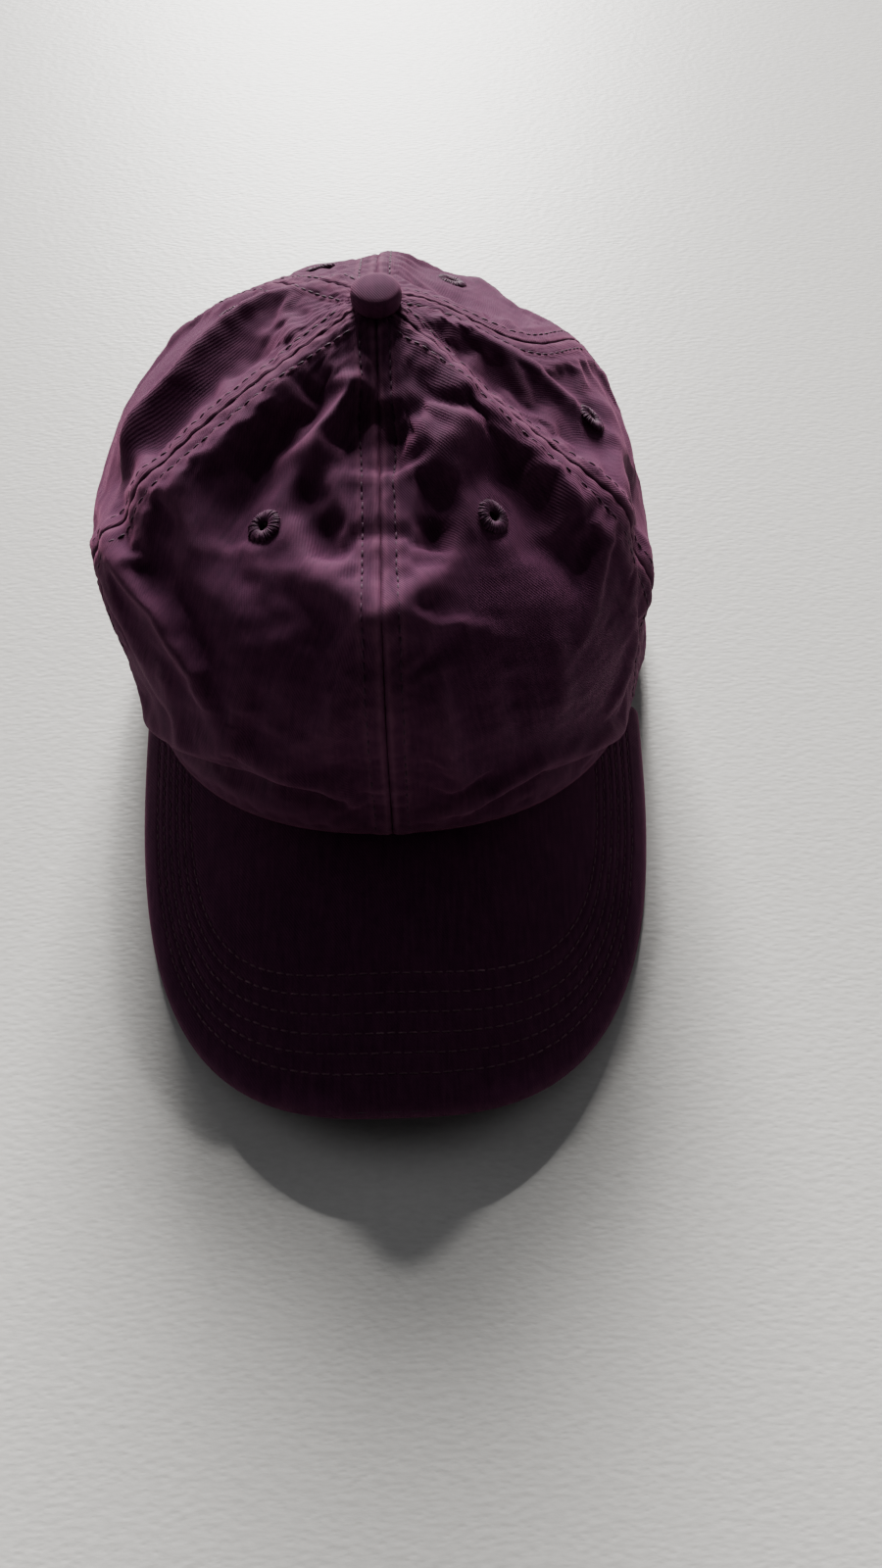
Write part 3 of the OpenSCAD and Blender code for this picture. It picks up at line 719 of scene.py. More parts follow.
def metal(name, dark, light, rough=0.34):
    m = Nodes(name)
    obj = m.add("ShaderNodeTexCoord").outputs["Object"]
    stretch = m.add("ShaderNodeMapping")
    stretch.inputs["Scale"].default_value = (1, 1, 14)
    m.wire(obj, stretch.inputs[0])
    brushed, cloud = m.noise(stretch.outputs[0], 700, 3), m.noise(obj, 110, 3)
    tone = m.math("ADD", m.math("MULTIPLY", brushed, 0.35), m.math("MULTIPLY", cloud, 0.65))
    m.set(Metallic=1.0)
    return m.done(m.ramp(tone, [(0.3, dark), (0.7, light)]), m.math("MULTIPLY_ADD", tone, 0.3, rough - 0.12),
                  m.bump(brushed, 0.25, 0.00012))


def plain_cloth(name, colour, scale=0.5):
    """A plain weave, for tapes, interlining and the label."""
    m = Nodes(name)
    obj = m.add("ShaderNodeTexCoord").outputs["Object"]
    weave = m.add("ShaderNodeTexVoronoi", Scale=1000 / scale)
    m.wire(obj, weave.inputs["Vector"])
    cloud = m.noise(obj, 140, 3)
    tone = m.math("ADD", m.math("MULTIPLY", weave.outputs["Distance"], 0.5), m.math("MULTIPLY", cloud, 0.5))
    m.set(Specular_IOR_Level=0.2, Sheen_Weight=0.25, Sheen_Roughness=0.5)
    dark, pale = tuple(c * 0.7 for c in colour), tuple(min(c * 1.25, 1) for c in colour)
    return m.done(m.ramp(tone, [(0.1, dark), (0.8, pale)]),
                  m.math("MULTIPLY_ADD", cloud, 0.1, 0.82), m.bump(weave.outputs["Distance"], 0.5, 0.0002))


def board_plastic(name):
    m = Nodes(name)
    obj = m.add("ShaderNodeTexCoord").outputs["Object"]
    grain = m.noise(obj, 900, 3)
    return m.done(m.ramp(grain, [(0.3, (0.03, 0.03, 0.032)), (0.7, (0.06, 0.06, 0.065))]),
                  m.math("MULTIPLY_ADD", grain, 0.2, 0.45), m.bump(grain, 0.2, 0.0002))


cloth_mat = twill("washed_plum_twill")
thread_mat = thread_material("plum_thread", (0.042, 0.010, 0.034), (0.10, 0.032, 0.074))
pale_thread_mat = thread_material("faded_plum_thread", (0.12, 0.055, 0.085), (0.22, 0.125, 0.165))
eyelet_mat = thread_material("plum_embroidery", (0.062, 0.015, 0.048), (0.125, 0.040, 0.088))
tape_mat = plain_cloth("seam_tape_cotton", (0.075, 0.022, 0.050))
pad_mat = plain_cloth("interlining", (0.62, 0.61, 0.57), 0.8)
label_mat = plain_cloth("label_satin", (0.72, 0.70, 0.66), 0.25)
brass_mat = metal("antique_brass", (0.075, 0.048, 0.021), (0.27, 0.185, 0.085), 0.46)
steel_mat = metal("button_steel", (0.22, 0.22, 0.22), (0.55, 0.55, 0.55))
board_mat = board_plastic("visor_board_plastic")

# ---------------------------------------------------------------- crown panels
PANELS = {("front", "left"): 30, ("front", "right"): -30, ("side", "left"): 90, ("side", "right"): -90,
          ("back", "left"): 150, ("back", "right"): -150}
# points across and up a panel, and the level of its top
COLS, ROWS, S_PANEL_TOP = 78, 150, 0.962
# the cloth's thickness, the radius of its hole behind an eyelet, and the gap between panels in degrees
CLOTH_T, HOLE_R, SEAM_GAP = 0.8, 2.6, 0.12
# the back opening is an arch on straight legs
OPENING_R, OPENING_LEG = 34.0, 10.0


def opening_level(t):
    """The level at which a back panel's cloth starts above the arched opening."""
    a = np.radians(180 - np.abs(wrap(t)))
    low = np.zeros(np.shape(a))
    for _ in range(12):
        x = crown_base(t, low)[..., 0]
        arch = np.where(np.abs(x) < OPENING_R,
                        OPENING_LEG + np.sqrt(np.clip(OPENING_R ** 2 - x ** 2, 0, None)), 0)
        arch = np.where(a > math.pi / 2, 0, arch)
        low = 0.5 * low + 0.5 * np.arcsin(np.clip(arch / HEIGHT, 0, 0.99)) / (np.pi / 2)
    return np.where(low < 0.02, 0, low)


def panel(place, hand, middle):
    name, edge = f"{place}_panel_{hand}", 30 - SEAM_GAP / 2
    bias = np.linspace(-1, 1, COLS)
    t = middle + edge * (0.85 * bias + 0.15 * np.sin(bias * np.pi / 2))
    start = opening_level(t) if place == "back" else np.zeros(COLS)
    v = np.linspace(0, 1, ROWS)
    s = S_PANEL_TOP * v[None, :] + start[:, None] * (1 - v[None, :]) ** 3
    own = np.broadcast_to(t[:, None], s.shape)
    tt = slipped(own, s)
    out, ins = on_crown(tt, s), on_crown(tt, s, -CLOTH_T)
    verts, faces = shell(out, ins)
    centre = on_crown(*EYELETS[f"eyelet_{place}_{hand}"], relief=False)
    drop = twice(np.linalg.norm(out - centre, axis=-1) < HOLE_R)
    faces = faces[~drop[faces].any(1)]
    r = hem_radius(tt) * profile(s)
    u, w = np.radians(own - middle) * r / 10, s * ARC / 10
    d, _ = seam_distance(tt, s)
    relief = cloth_relief(tt, s)
    bend = np.clip(look_up("bend", tt, s)[..., 0], 0, 1)
    wear = (0.55 * np.exp(-((np.abs(d) - 1.3) / 0.7) ** 2) + 0.40 * np.exp(-((np.abs(d) - 5.3) / 0.6) ** 2)
            + 0.8 * np.clip(relief - 0.30, 0, 1) + 0.24 * bend + 0.5 * np.exp(-(s * ARC / 1.5) ** 2))
    wear = np.clip(wear, 0, 0.85)
    obj = make(name + "_cloth", verts, faces, cloth_mat, flat_uv(u, w), {"wear": twice(wear)})
    fill_open_edges(obj)
    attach(obj, "cap"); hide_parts(name)
    return obj


def sharp_ridges(points, normals):
    """Where the crown's surface bends outwards most, from 0 to 1: these places fade first."""
    lap = np.roll(points, 1, 0) + np.roll(points, -1, 0) - 2 * points
    lap[:, 1:-1] += points[:, 2:] + points[:, :-2] - 2 * points[:, 1:-1]
    return blur(np.clip(-(lap * normals).sum(-1, keepdims=True) * 7 - 0.12, 0, 1), 3)


def fill_open_edges(obj):
    """Joins the two faces of a cut-out round hole, so that the piece stays a closed solid."""
    bm = bmesh.new()
    bm.from_mesh(obj.data)
    loose = [v for v in bm.verts if not v.link_faces]
    bmesh.ops.delete(bm, geom=loose, context="VERTS")
    open_edges = [e for e in bm.edges if e.is_boundary]
    if open_edges:
        bmesh.ops.bridge_loops(bm, edges=open_edges)
    bm.to_mesh(obj.data)
    bm.free()
    obj.data.polygons.foreach_set("use_smooth", [True] * len(obj.data.polygons))


table["bend"] = sharp_ridges(table["P"], table["N"])
for (place, hand), middle in PANELS.items():
    panel(place, hand, middle)

# ---------------------------------------------------------------- stitching on the crown
# the back seam starts above the opening; the hem's row lies 3 mm up and stops at the visor and the opening
BACK_SEAM_FROM, HEM_ROW, HEM_ROW_END = 0.27, 3.0, 153
lines = []
s_line = np.linspace(0.012, 0.935, 260)
for seam in SEAMS:
    s_here = s_line[s_line > BACK_SEAM_FROM] if seam == -180 else s_line
    for side in (-1, 1):
        shift = side * np.degrees(STITCH_ROW / np.maximum(hem_radius(seam) * profile(s_here), 1.0))
        t = slipped(seam, s_here) + shift
        ok = np.abs(shift) < 26
        lines.append((on_crown(t[ok], s_here[ok], -0.02), crown_normal(t[ok], s_here[ok])))
for line_t in (np.linspace(-79, -203, 260), np.linspace(79, 155, 180)):
    line_t = line_t[np.abs(wrap(line_t)) < HEM_ROW_END]
    lines.append((on_crown(line_t, HEM_ROW / ARC, -0.02), crown_normal(line_t, HEM_ROW / ARC)))
sew("crown_stitches", lines, thread_mat, seed=4)


# ---------------------------------------------------------------- eyelets
def eyelet(name, t, s, seed):
    """A vent hole bound by close stitches that wrap over a cord from its rim to its edge."""
    rng = np.random.default_rng(seed)
    n = crown_normal(t, s)
    centre = on_crown(t, s, -0.35, relief=False)
    a = unit(np.cross([0, 0, 1.0], n))
    b = np.cross(n, a)
    r_in, r_out, count = 1.45, 4.9, 46
    parts = []
    across = np.linspace(0, 1, 9)
    lift = 0.85 * np.sin(np.pi * across) ** 0.6
    for k in range(count):
        ang = 2 * np.pi * (k + rng.uniform(-0.22, 0.22)) / count
        far = r_out + rng.normal(0, 0.14)
        rad = r_in + (far - r_in) * across
        twist = ang + 0.10 * across + rng.normal(0, 0.02)
        d = np.cos(twist)[:, None] * a + np.sin(twist)[:, None] * b
        pts = centre + d * rad[:, None] + n * (lift * rng.uniform(0.9, 1.1) - 0.25)[:, None]
        w = 0.27 * (0.55 + 0.45 * rad / r_out)
        ring = np.linspace(0, 2 * np.pi, 5, endpoint=False)
        side = np.cross(n, d)
        verts = (pts[:, None] + np.cos(ring)[None, :, None] * side[:, None] * w[:, None, None]
                 + np.sin(ring)[None, :, None] * n * 0.26)
        parts.append((verts.reshape(-1, 3), tube_faces(len(verts), 5)))
    around = np.linspace(0, 2 * np.pi, 40, endpoint=False)
    core = centre + (np.cos(around)[:, None] * a + np.sin(around)[:, None] * b) * 3.15
    turns = np.linspace(0, 2 * np.pi, 10, endpoint=False)
    oval = [(1.5 * math.cos(q), 0.42 * math.sin(q) - 0.1) for q in turns]
    parts.append(tube_ring(core, np.repeat(n[None], 40, 0), oval, closed=True))
    verts, faces = joined(parts)
    obj = make(name + "_thread", verts, faces, eyelet_mat)
    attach(obj, "cap"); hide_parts(name)


for k, (name, (t, s)) in enumerate(EYELETS.items()):
    eyelet(name, t, s, 40 + k)


# ---------------------------------------------------------------- button
def button():
    """The cloth over the top button, pleated where it is drawn in round the rim."""
    apex = np.array([0, APEX_BACK + CENTRE_Y, HEIGHT])
    rows = np.array([(6.0, -1.2), (6.6, -0.6), (6.9, 0.3), (7.0, 1.4), (7.0, 2.6), (6.85, 3.5), (6.4, 4.2),
                     (5.5, 4.62), (4.0, 4.92), (2.2, 5.12), (0.8, 5.19)])
    fine = np.linspace(0, len(rows) - 1, 34)
    r = np.interp(fine, range(len(rows)), rows[:, 0])
    z = np.interp(fine, range(len(rows)), rows[:, 1])
    a = np.linspace(0, 2 * np.pi, 72, endpoint=False)
    pleat = 0.10 * np.sin(a * 9 + 0.6)[:, None] * np.exp(-((z - 0.1) / 1.1) ** 2)[None, :]
    dent = 0.16 * np.sin(a * 2 + 1.0)[:, None] * smooth((z - 2) / 3)[None, :]
    rr = r[None, :] + pleat
    x, y = rr * np.cos(a)[:, None], rr * np.sin(a)[:, None]
    out = np.stack([x, y, z[None, :] + dent * (r[None, :] / 6.5)], -1)
    ins = np.stack([0.86 * x, 0.86 * y, np.broadcast_to(z[None, :] - 0.55, rr.shape)], -1)
    verts, faces = shell(out, ins, around=True)
    k = len(a) * len(r)
    cap_i = [i * len(r) + len(r) - 1 for i in range(len(a))]
    top = out[:, -1].mean(0) + [0, 0, 0.02]
    low = ins[:, -1].mean(0)
    inner_i = {i + k for i in cap_i}
    faces = [f for f in faces.tolist() if not (set(f) & set(cap_i) and set(f) & inner_i)]
    verts = np.concatenate([verts, [top, low]])
    for i in range(len(a)):
        j = (i + 1) % len(a)
        faces.append([cap_i[i], cap_i[j], 2 * k])
        faces.append([cap_i[j] + k, cap_i[i] + k, 2 * k + 1])
    uv = np.stack([verts[:, 0] / 10, verts[:, 1] / 10 + verts[:, 2] / 10], -1)
    rim = np.exp(-((np.hypot(verts[:, 0], verts[:, 1]) - 6.0) / 0.8) ** 2) * 0.35
    obj = make("button_cloth", verts + apex, faces, cloth_mat, uv, {"wear": rim})
    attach(obj, "cap"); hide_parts("button_cover")


button()
for name in ("button_shell", "button_rivet"):
    nodes[name].data.materials.clear(); nodes[name].data.materials.append(steel_mat)

# ---------------------------------------------------------------- visor
# points round and across the visor, its cloth's thickness, and how far in its rows of stitches lie
VISOR_A, VISOR_R, SKIN = 168, 84, 0.8
ROW_GAP = 5.2
ROWS_AT = tuple(round(10.7 + ROW_GAP * k, 1) for k in range(6))


def head_curve(a_deg):
    """The visor's inner edge, tucked under the crown's hem, met along the ray at angle a."""
    a = np.radians(a_deg)
    r = np.linspace(20, 90, 281)
    x = r[None, :] * np.sin(a)[:, None]
    y = VISOR_BACK - r[None, :] * np.cos(a)[:, None]
    t = np.degrees(np.arctan2(x, -y))
    inside = np.hypot(x, y) < hem_radius(t) - 3.6
    last = inside.shape[1] - 1 - inside[:, ::-1].argmax(1)
    return np.where(inside.any(1), r[np.maximum(last, 0)], r[0])


def visor_edge_distance(x, y):
    """How far in from the outline a point lies, as the stitch rows count it: they crowd at the sides."""
    level = np.linspace(0, 100, 51)
    aside = np.interp(level, (0, ROWS_AT[0], 100), (0, 5.6, 45))
    depth = level.reshape(-1, *[1] * np.ndim(x))
    aside = aside.reshape(depth.shape)
    power = VISOR_N + 0.024 * depth
    rho = (np.abs(x) / (VISOR_W - aside)) ** power + (np.abs(y - VISOR_BACK) / (VISOR_L - depth)) ** power
    k = np.clip((rho < 1).sum(0), 1, len(level) - 1)
    low_rho, high_rho = (np.take_along_axis(rho, at[None], 0)[0] for at in (k - 1, k))
    return level[k - 1] + 2 * np.clip((1 - low_rho) / np.maximum(high_rho - low_rho, 1e-9), 0, 1)


def visor_surface(a_deg, v):
    """Points of the visor's top: v runs from the hem to the outline."""
    ox, oy = visor_outline(a_deg)
    r_out = np.hypot(ox, oy - VISOR_BACK)
    r_in = np.minimum(head_curve(a_deg), r_out - 1.0)
    r = r_in[:, None] + (r_out - r_in)[:, None] * v[None, :]
    a = np.radians(a_deg)[:, None]
    x, y = r * np.sin(a), VISOR_BACK - r * np.cos(a)
    return x, y, VISOR_Z + arch_rise(x, y, 0)


def visor_part(name, top):
    a = np.linspace(-90, 90, VISOR_A)
    x, y, z = visor_surface(a, np.linspace(0, 1, VISOR_R))
    edge = visor_edge_distance(x, y)
    quilt = sum(np.exp(-((edge - row) / 0.9) ** 2) for row in ROWS_AT)
    swell = 0.10 * np.cos((edge - ROWS_AT[0]) / ROW_GAP * 2 * np.pi) * (edge > 8) * (edge < 39)
    turn = np.degrees(np.arctan2(x, -(y - VISOR_BACK)))
    puck = 0.10 * np.sin(turn * 1.9 + 2 * np.sin(edge / 4)) * np.exp(-((edge - 5) / 4) ** 2)
    round_off = 1.25 * np.exp(-(edge / 1.5)) + 0.35 * np.exp(-(edge / 4))
    wave = 0.35 * np.sin(x / 19 + 1) * np.sin(y / 23)
    if top:
        zo = z - round_off - 0.28 * quilt - swell * 0.6 + puck + wave * smooth(edge / 20)
        zi = zo - SKIN
        far = z - VISOR_T / 2 + 0.02
        zi = np.where(edge < 2.2, far + (zi - far) * smooth(edge / 2.2), zi)
        zi = np.minimum(zi, zo - 0.15)
    else:
        zb = VISOR_Z + arch_rise(x, y, VISOR_T)
        zo = zb + round_off + 0.22 * quilt + swell * 0.5 + puck * 0.6
        zo = np.maximum(zo, 0.05)
        zi = zo + SKIN
        far = z - VISOR_T / 2 - 0.02
        zi = np.where(edge < 2.2, far + (zi - far) * smooth(edge / 2.2), zi)
        zi = np.maximum(zi, zo + 0.15)
    out, ins = np.stack([x, y + CENTRE_Y, zo], -1), np.stack([x, y + CENTRE_Y, zi], -1)
    if not top:
        out, ins = ins, out
    verts, faces = shell(out, ins)
    wear = 0.55 * np.exp(-(edge / 1.6) ** 2) + 0.10 * quilt + 0.075 * np.clip(swell * 6, 0, 1)
    wear = np.clip(wear, 0, 0.8)
    obj = make(name + "_stitched", verts, faces, cloth_mat, flat_uv(x / 10, y / 10), {"wear": twice(wear)})
    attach(obj, "cap"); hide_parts(name)
    return obj, (x, y, zo, edge)


visor_top_obj, top_grid = visor_part("visor_top_cloth", True)
visor_low_obj, low_grid = visor_part("visor_under_cloth", False)
nodes["visor_board"].data.materials.clear(); nodes["visor_board"].data.materials.append(board_mat)


def visor_rows(grid, up):
    """The lines of the visor's stitches, found where its edge distance passes each row's."""
    x, y, z, edge = grid
    place = np.stack([x, y + CENTRE_Y, z], -1)
    rows = []
    for row in ROWS_AT:
        pts = []
        for i in range(1, x.shape[0] - 1):
            e = edge[i]
            hit = np.where((e[:-1] >= row) & (e[1:] < row))[0]
            if len(hit):
                j = hit[-1]
                f = (e[j] - row) / max(e[j] - e[j + 1], 1e-6)
                pts.append(place[i, j] + f * (place[i, j + 1] - place[i, j]))
        pts = np.array(pts)
        n = np.stack([pts[:, 0] / ARCH_R, np.full(len(pts), -math.sin(SLOPE)), np.ones(len(pts))], -1)
        rows.append((pts, unit(n) * (1 if up else -1)))
    return rows


sew("visor_stitches_top", visor_rows(top_grid, True), pale_thread_mat,
    pitch=2.9, length=2.35, radius=0.24, lift=0.10, seed=8)
sew("visor_stitches_under", visor_rows(low_grid, False), thread_mat,
    pitch=2.9, length=2.35, radius=0.22, lift=0.02, seed=9)

# ---------------------------------------------------------------- inside: tapes, sweatband, padding, label
TAPES = {"seam_tape_front": (0, 0.01), "seam_tape_back": (180, 0.30),
         "seam_tape_front_left": (60, 0.01), "seam_tape_front_right": (-60, 0.01),
         "seam_tape_back_left": (120, 0.01), "seam_tape_back_right": (-120, 0.01)}
TAPE_HALF, TAPE_T = 5.0, 0.5
tape_lines = []
across = np.linspace(-1, 1, 9)
for name, (seam, s0) in TAPES.items():
    s = np.linspace(s0, 0.925, 120)
    half = np.minimum(np.degrees(TAPE_HALF / np.maximum(hem_radius(seam) * profile(s), 1.0)), 28)
    tt = slipped(seam, s) + half[None, :] * across[:, None]
    ss = np.broadcast_to(s[None, :], tt.shape)
    normal = crown_normal(tt, ss)
    out = on_crown(tt, ss, -CLOTH_T - 0.25) + normal * (-0.1 * (1 - across[:, None] ** 4))[..., None]
    ins = out - normal * TAPE_T
    verts, faces = shell(out, ins)
    obj = make(name + "_strip", verts, faces, tape_mat)
    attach(obj, "cap"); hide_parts(name)
    tape_lines += [(ins[k, :112], -normal[k, :112]) for k in (1, 7)]
sew("tape_stitches", tape_lines, thread_mat, pitch=3.0, length=2.4, radius=0.22, lift=0.02, seed=14)

# the strap's tab, the strap and the sweatband's padding stand one behind the other inside the hem
TAB_IN, TAB_T, GAP, STRAP_T = 1.4, 0.8, 0.3, 1.6
STRAP_IN = TAB_IN + TAB_T + GAP
BAND_IN = STRAP_IN + STRAP_T + GAP
BAND_FACE = BAND_IN + 0.5 + GAP
BAND_END = 180 - math.degrees(math.asin(33 / HALF_W))


def band_point(t, depth, z):
    """A point of an upright wall that stands at a depth inside the hem, z above the band's lower edge."""
    t, depth, z = np.broadcast_arrays(np.asarray(t, float), depth, z)
    n = grid_hem_normal(t)
    p = crown_base(t, np.zeros(t.shape))
    low = np.maximum(hem_height(t) - 5 * smooth(hem_height(t) / 10), 0)
    return np.stack([p[..., 0] - depth * n[..., 0], p[..., 1] - depth * n[..., 1] + CENTRE_Y, low + z], -1)


def grid_hem_normal(t):
    a, b = crown_base(t - 0.5, np.zeros(np.shape(t))), crown_base(t + 0.5, np.zeros(np.shape(t)))
    d = b - a
    return unit(np.stack([d[..., 1], -d[..., 0], np.zeros(np.shape(t))], -1))


def band_ripple(t, z):
    """How far the sweatband's cloth ripples, more so away from its lower edge."""
    return (0.35 * np.sin(np.radians(t) * 23 + 1.5 * np.sin(z / 6)) * smooth(z / 14)
            + 0.25 * np.sin(np.radians(t) * 41 + z / 4) * smooth((z - 4) / 20))


def sweatband():
    t = np.linspace(-BAND_END, BAND_END, 300)
    z = np.linspace(0, 32, 34)
    tt, zz = np.meshgrid(t, z, indexing="ij")
    roll = 0.35 * np.exp(-((zz - 1.0) / 1.3) ** 2)
    stitch = 0.22 * np.exp(-((zz - 3.2) / 0.7) ** 2)
    out = band_point(tt, BAND_FACE + 0.05, zz)
    ins = band_point(tt, BAND_FACE + 0.62 + np.abs(band_ripple(tt, zz)) * 0.6 + roll - stitch, zz)
    verts, faces = shell(out, ins)
    uv = flat_uv(np.radians(tt) * 8.8, zz / 10)
    wear = np.clip(0.35 * np.exp(-(zz / 1.5) ** 2) + 0.3 * np.exp(-((32 - zz) / 1.2) ** 2), 0, 1)
    obj = make("sweatband_cloth", verts, faces, cloth_mat, uv, {"wear": twice(wear)})
    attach(obj, "cap"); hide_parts("sweatband")
    rows = []
    for zr, sunk in ((3.2, 0.15), (29.0, 0)):
        tl = np.linspace(-BAND_END + 1, BAND_END - 1, 500)
        depth = BAND_FACE + 0.62 + np.abs(band_ripple(tl, zr)) * 0.6 - sunk
        rows.append((band_point(tl, depth, zr), -grid_hem_normal(tl)))
    sew("sweatband_stitches", rows, thread_mat, pitch=3.2, length=2.6, radius=0.22, lift=0.05, seed=17)


sweatband()


def padding():
    t, z = np.meshgrid(np.linspace(-72, 72, 90), np.linspace(3, 29, 14), indexing="ij")
    edge = np.minimum(np.minimum(z - 3, 29 - z), 4) / 4
    out = band_point(t, BAND_IN + 0.22 * (1 - smooth(edge)), z)
    ins = band_point(t, BAND_IN + 0.5 - 0.15 * (1 - smooth(edge)), z)
    verts, faces = shell(out, ins)
    obj = make("sweatband_pad", verts, faces, pad_mat)
    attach(obj, "cap"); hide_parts("sweatband_padding")


padding()


def arc_point(angle, r, z):
    """Angles run from the back seam towards the wearer's left."""
    a = np.radians(angle)
    a, r, z = np.broadcast_arrays(a, r, z)
    return np.stack([r * np.sin(a), r * np.cos(a) + CENTRE_Y, z], -1)


def label():
    r = HALF_W - BAND_FACE - 0.6 - 0.3
    a, z = np.meshgrid(np.linspace(-52, -34, 40), np.linspace(8, 26, 34), indexing="ij")
    lift = 0.5 * smooth((z - 10) / 16) * (1 + 0.4 * np.sin(np.radians(a) * 17))
    edge = np.minimum.reduce([z - 8, 26 - z, (a + 52) * 1.35, (-34 - a) * 1.35])
    hem = 0.12 * np.exp(-((edge - 0.9) / 0.5) ** 2)
    face = r - 0.3 - lift - 0.08 + hem
    verts, faces = shell(arc_point(a, face + 0.28, z), arc_point(a, face, z))
    obj = make("care_label_blank", verts, faces, label_mat)
    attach(obj, "cap"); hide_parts("care_label")


label()

# ---------------------------------------------------------------- back opening, strap, tab and buckle
def opening_line():
    """Points of the arched opening's edge as angle and level on the crown."""
    leg = np.linspace(0.5, OPENING_LEG, 14)[:-1]
    phi = np.linspace(0, np.pi, 160)
    x = OPENING_R * np.concatenate([np.ones(len(leg)), np.cos(phi), -np.ones(len(leg))])
    z = np.concatenate([leg, OPENING_LEG + OPENING_R * np.sin(phi), leg[::-1]])
    s = np.arcsin(z / HEIGHT) / (np.pi / 2)
    r = HALF_W * profile(s)
    t = 180 - np.degrees(np.arcsin(np.clip(x / r, -1, 1)))
    for _ in range(6):
        p = crown_base(t, s)
        t = t + np.degrees((p[:, 0] - x) / r) * np.sign(np.cos(np.radians(180 - t)))
    return t, s


def binding():
    t, s = opening_line()
    pts, nrm = on_crown(t, s, -0.45, relief=False), crown_normal(t, s)
    w, h = 3.6, 0.98
    outline = []
    for q in np.linspace(0, 2 * np.pi, 28, endpoint=False):
        c, sn = math.cos(q), math.sin(q)
        outline.append((w * np.sign(c) * abs(c) ** 0.55, h * np.sign(sn) * abs(sn) ** 0.6))
    verts, faces = tube_ring(pts, nrm, outline)
    m = len(outline)
    along = np.repeat(np.arange(len(pts)), m)
    across = np.tile(np.array(outline)[:, 0], len(pts))
    puck = 0.12 * np.sin(along * 0.9 + across) * (np.abs(across) > 1.5)
    verts = verts + np.repeat(nrm, m, 0) * puck[:, None]
    uv = np.stack([across / 10, along * 0.08], -1)
    wear = 0.35 * np.exp(-((np.abs(across) - 3.5) / 0.5) ** 2)
    obj = make("back_opening_bound_edge", verts, faces, cloth_mat, uv, {"wear": wear})
    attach(obj, "cap"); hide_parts("back_opening_binding")
    tangent = unit(np.gradient(pts, axis=0))
    side = np.cross(tangent, nrm)
    rows = [(pts + side * off + nrm * (h - 0.06), nrm) for off in (-2.5, 2.3)]
    sew("back_opening_stitches", [(p[3:-3], n[3:-3]) for p, n in rows], thread_mat,
        pitch=3.0, length=2.4, radius=0.24, lift=0.05, seed=23)


binding()
STRAP_R = HALF_W - STRAP_IN


def strap():
    a = np.linspace(-41, 41, 220)
    u = np.linspace(0, 2 * np.pi, 40, endpoint=False)
    hw, ht = 10.0, STRAP_T / 2
    prof_z = hw * np.sign(np.cos(u)) * np.abs(np.cos(u)) ** 0.30
    prof_r = ht * np.sign(np.sin(u)) * np.abs(np.sin(u)) ** 0.55
    end = np.sqrt(np.clip(1 - np.clip((np.abs(a) - 38.6) / 2.4, 0, 1) ** 2 * 0.55, 0, 1))
    mid_z, mid_r, row = 14.0, STRAP_R - ht, 7.6
    dimple = np.exp(-((np.abs(prof_z) - row) / 0.6) ** 2) * 0.16
    z = mid_z + prof_z[None, :] * end[:, None]
    r = np.broadcast_to(mid_r + prof_r - np.sign(prof_r) * dimple, z.shape)
    verts = arc_point(a[:, None], r, z)
    faces = tube_faces(*verts.shape[:2], flip=True)
    uv = np.stack([np.broadcast_to(a[:, None] * 0.138, z.shape), z / 10], -1)
    wear = np.broadcast_to(0.4 * np.exp(-((np.abs(prof_z) - 9.8) / 0.5) ** 2)[None, :], r.shape)
    obj = make("strap_cloth", verts.reshape(-1, 3), faces, cloth_mat, uv, {"wear": wear})
    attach(obj, "strap"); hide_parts("strap")
    rows = []
    for zr in (mid_z - row, mid_z + row):
        for sign in (1, -1):
            aa = np.linspace(-38.5, 38.5, 400)
            out = arc_point(aa, 1.0, 0) - arc_point(aa, 0.0, 0)
            rows.append((arc_point(aa, mid_r + sign * (ht - 0.20), zr), out * sign))
    sew("strap_stitches", rows, thread_mat, "strap", pitch=3.0, length=2.4, radius=0.2, lift=0.0, seed=29)


strap()
FRAME_END, BAR_R, BAR_T, BAR_SPAN = 19.0, 80.8, 1.4, 2.4
TAB_R = HALF_W - TAB_IN


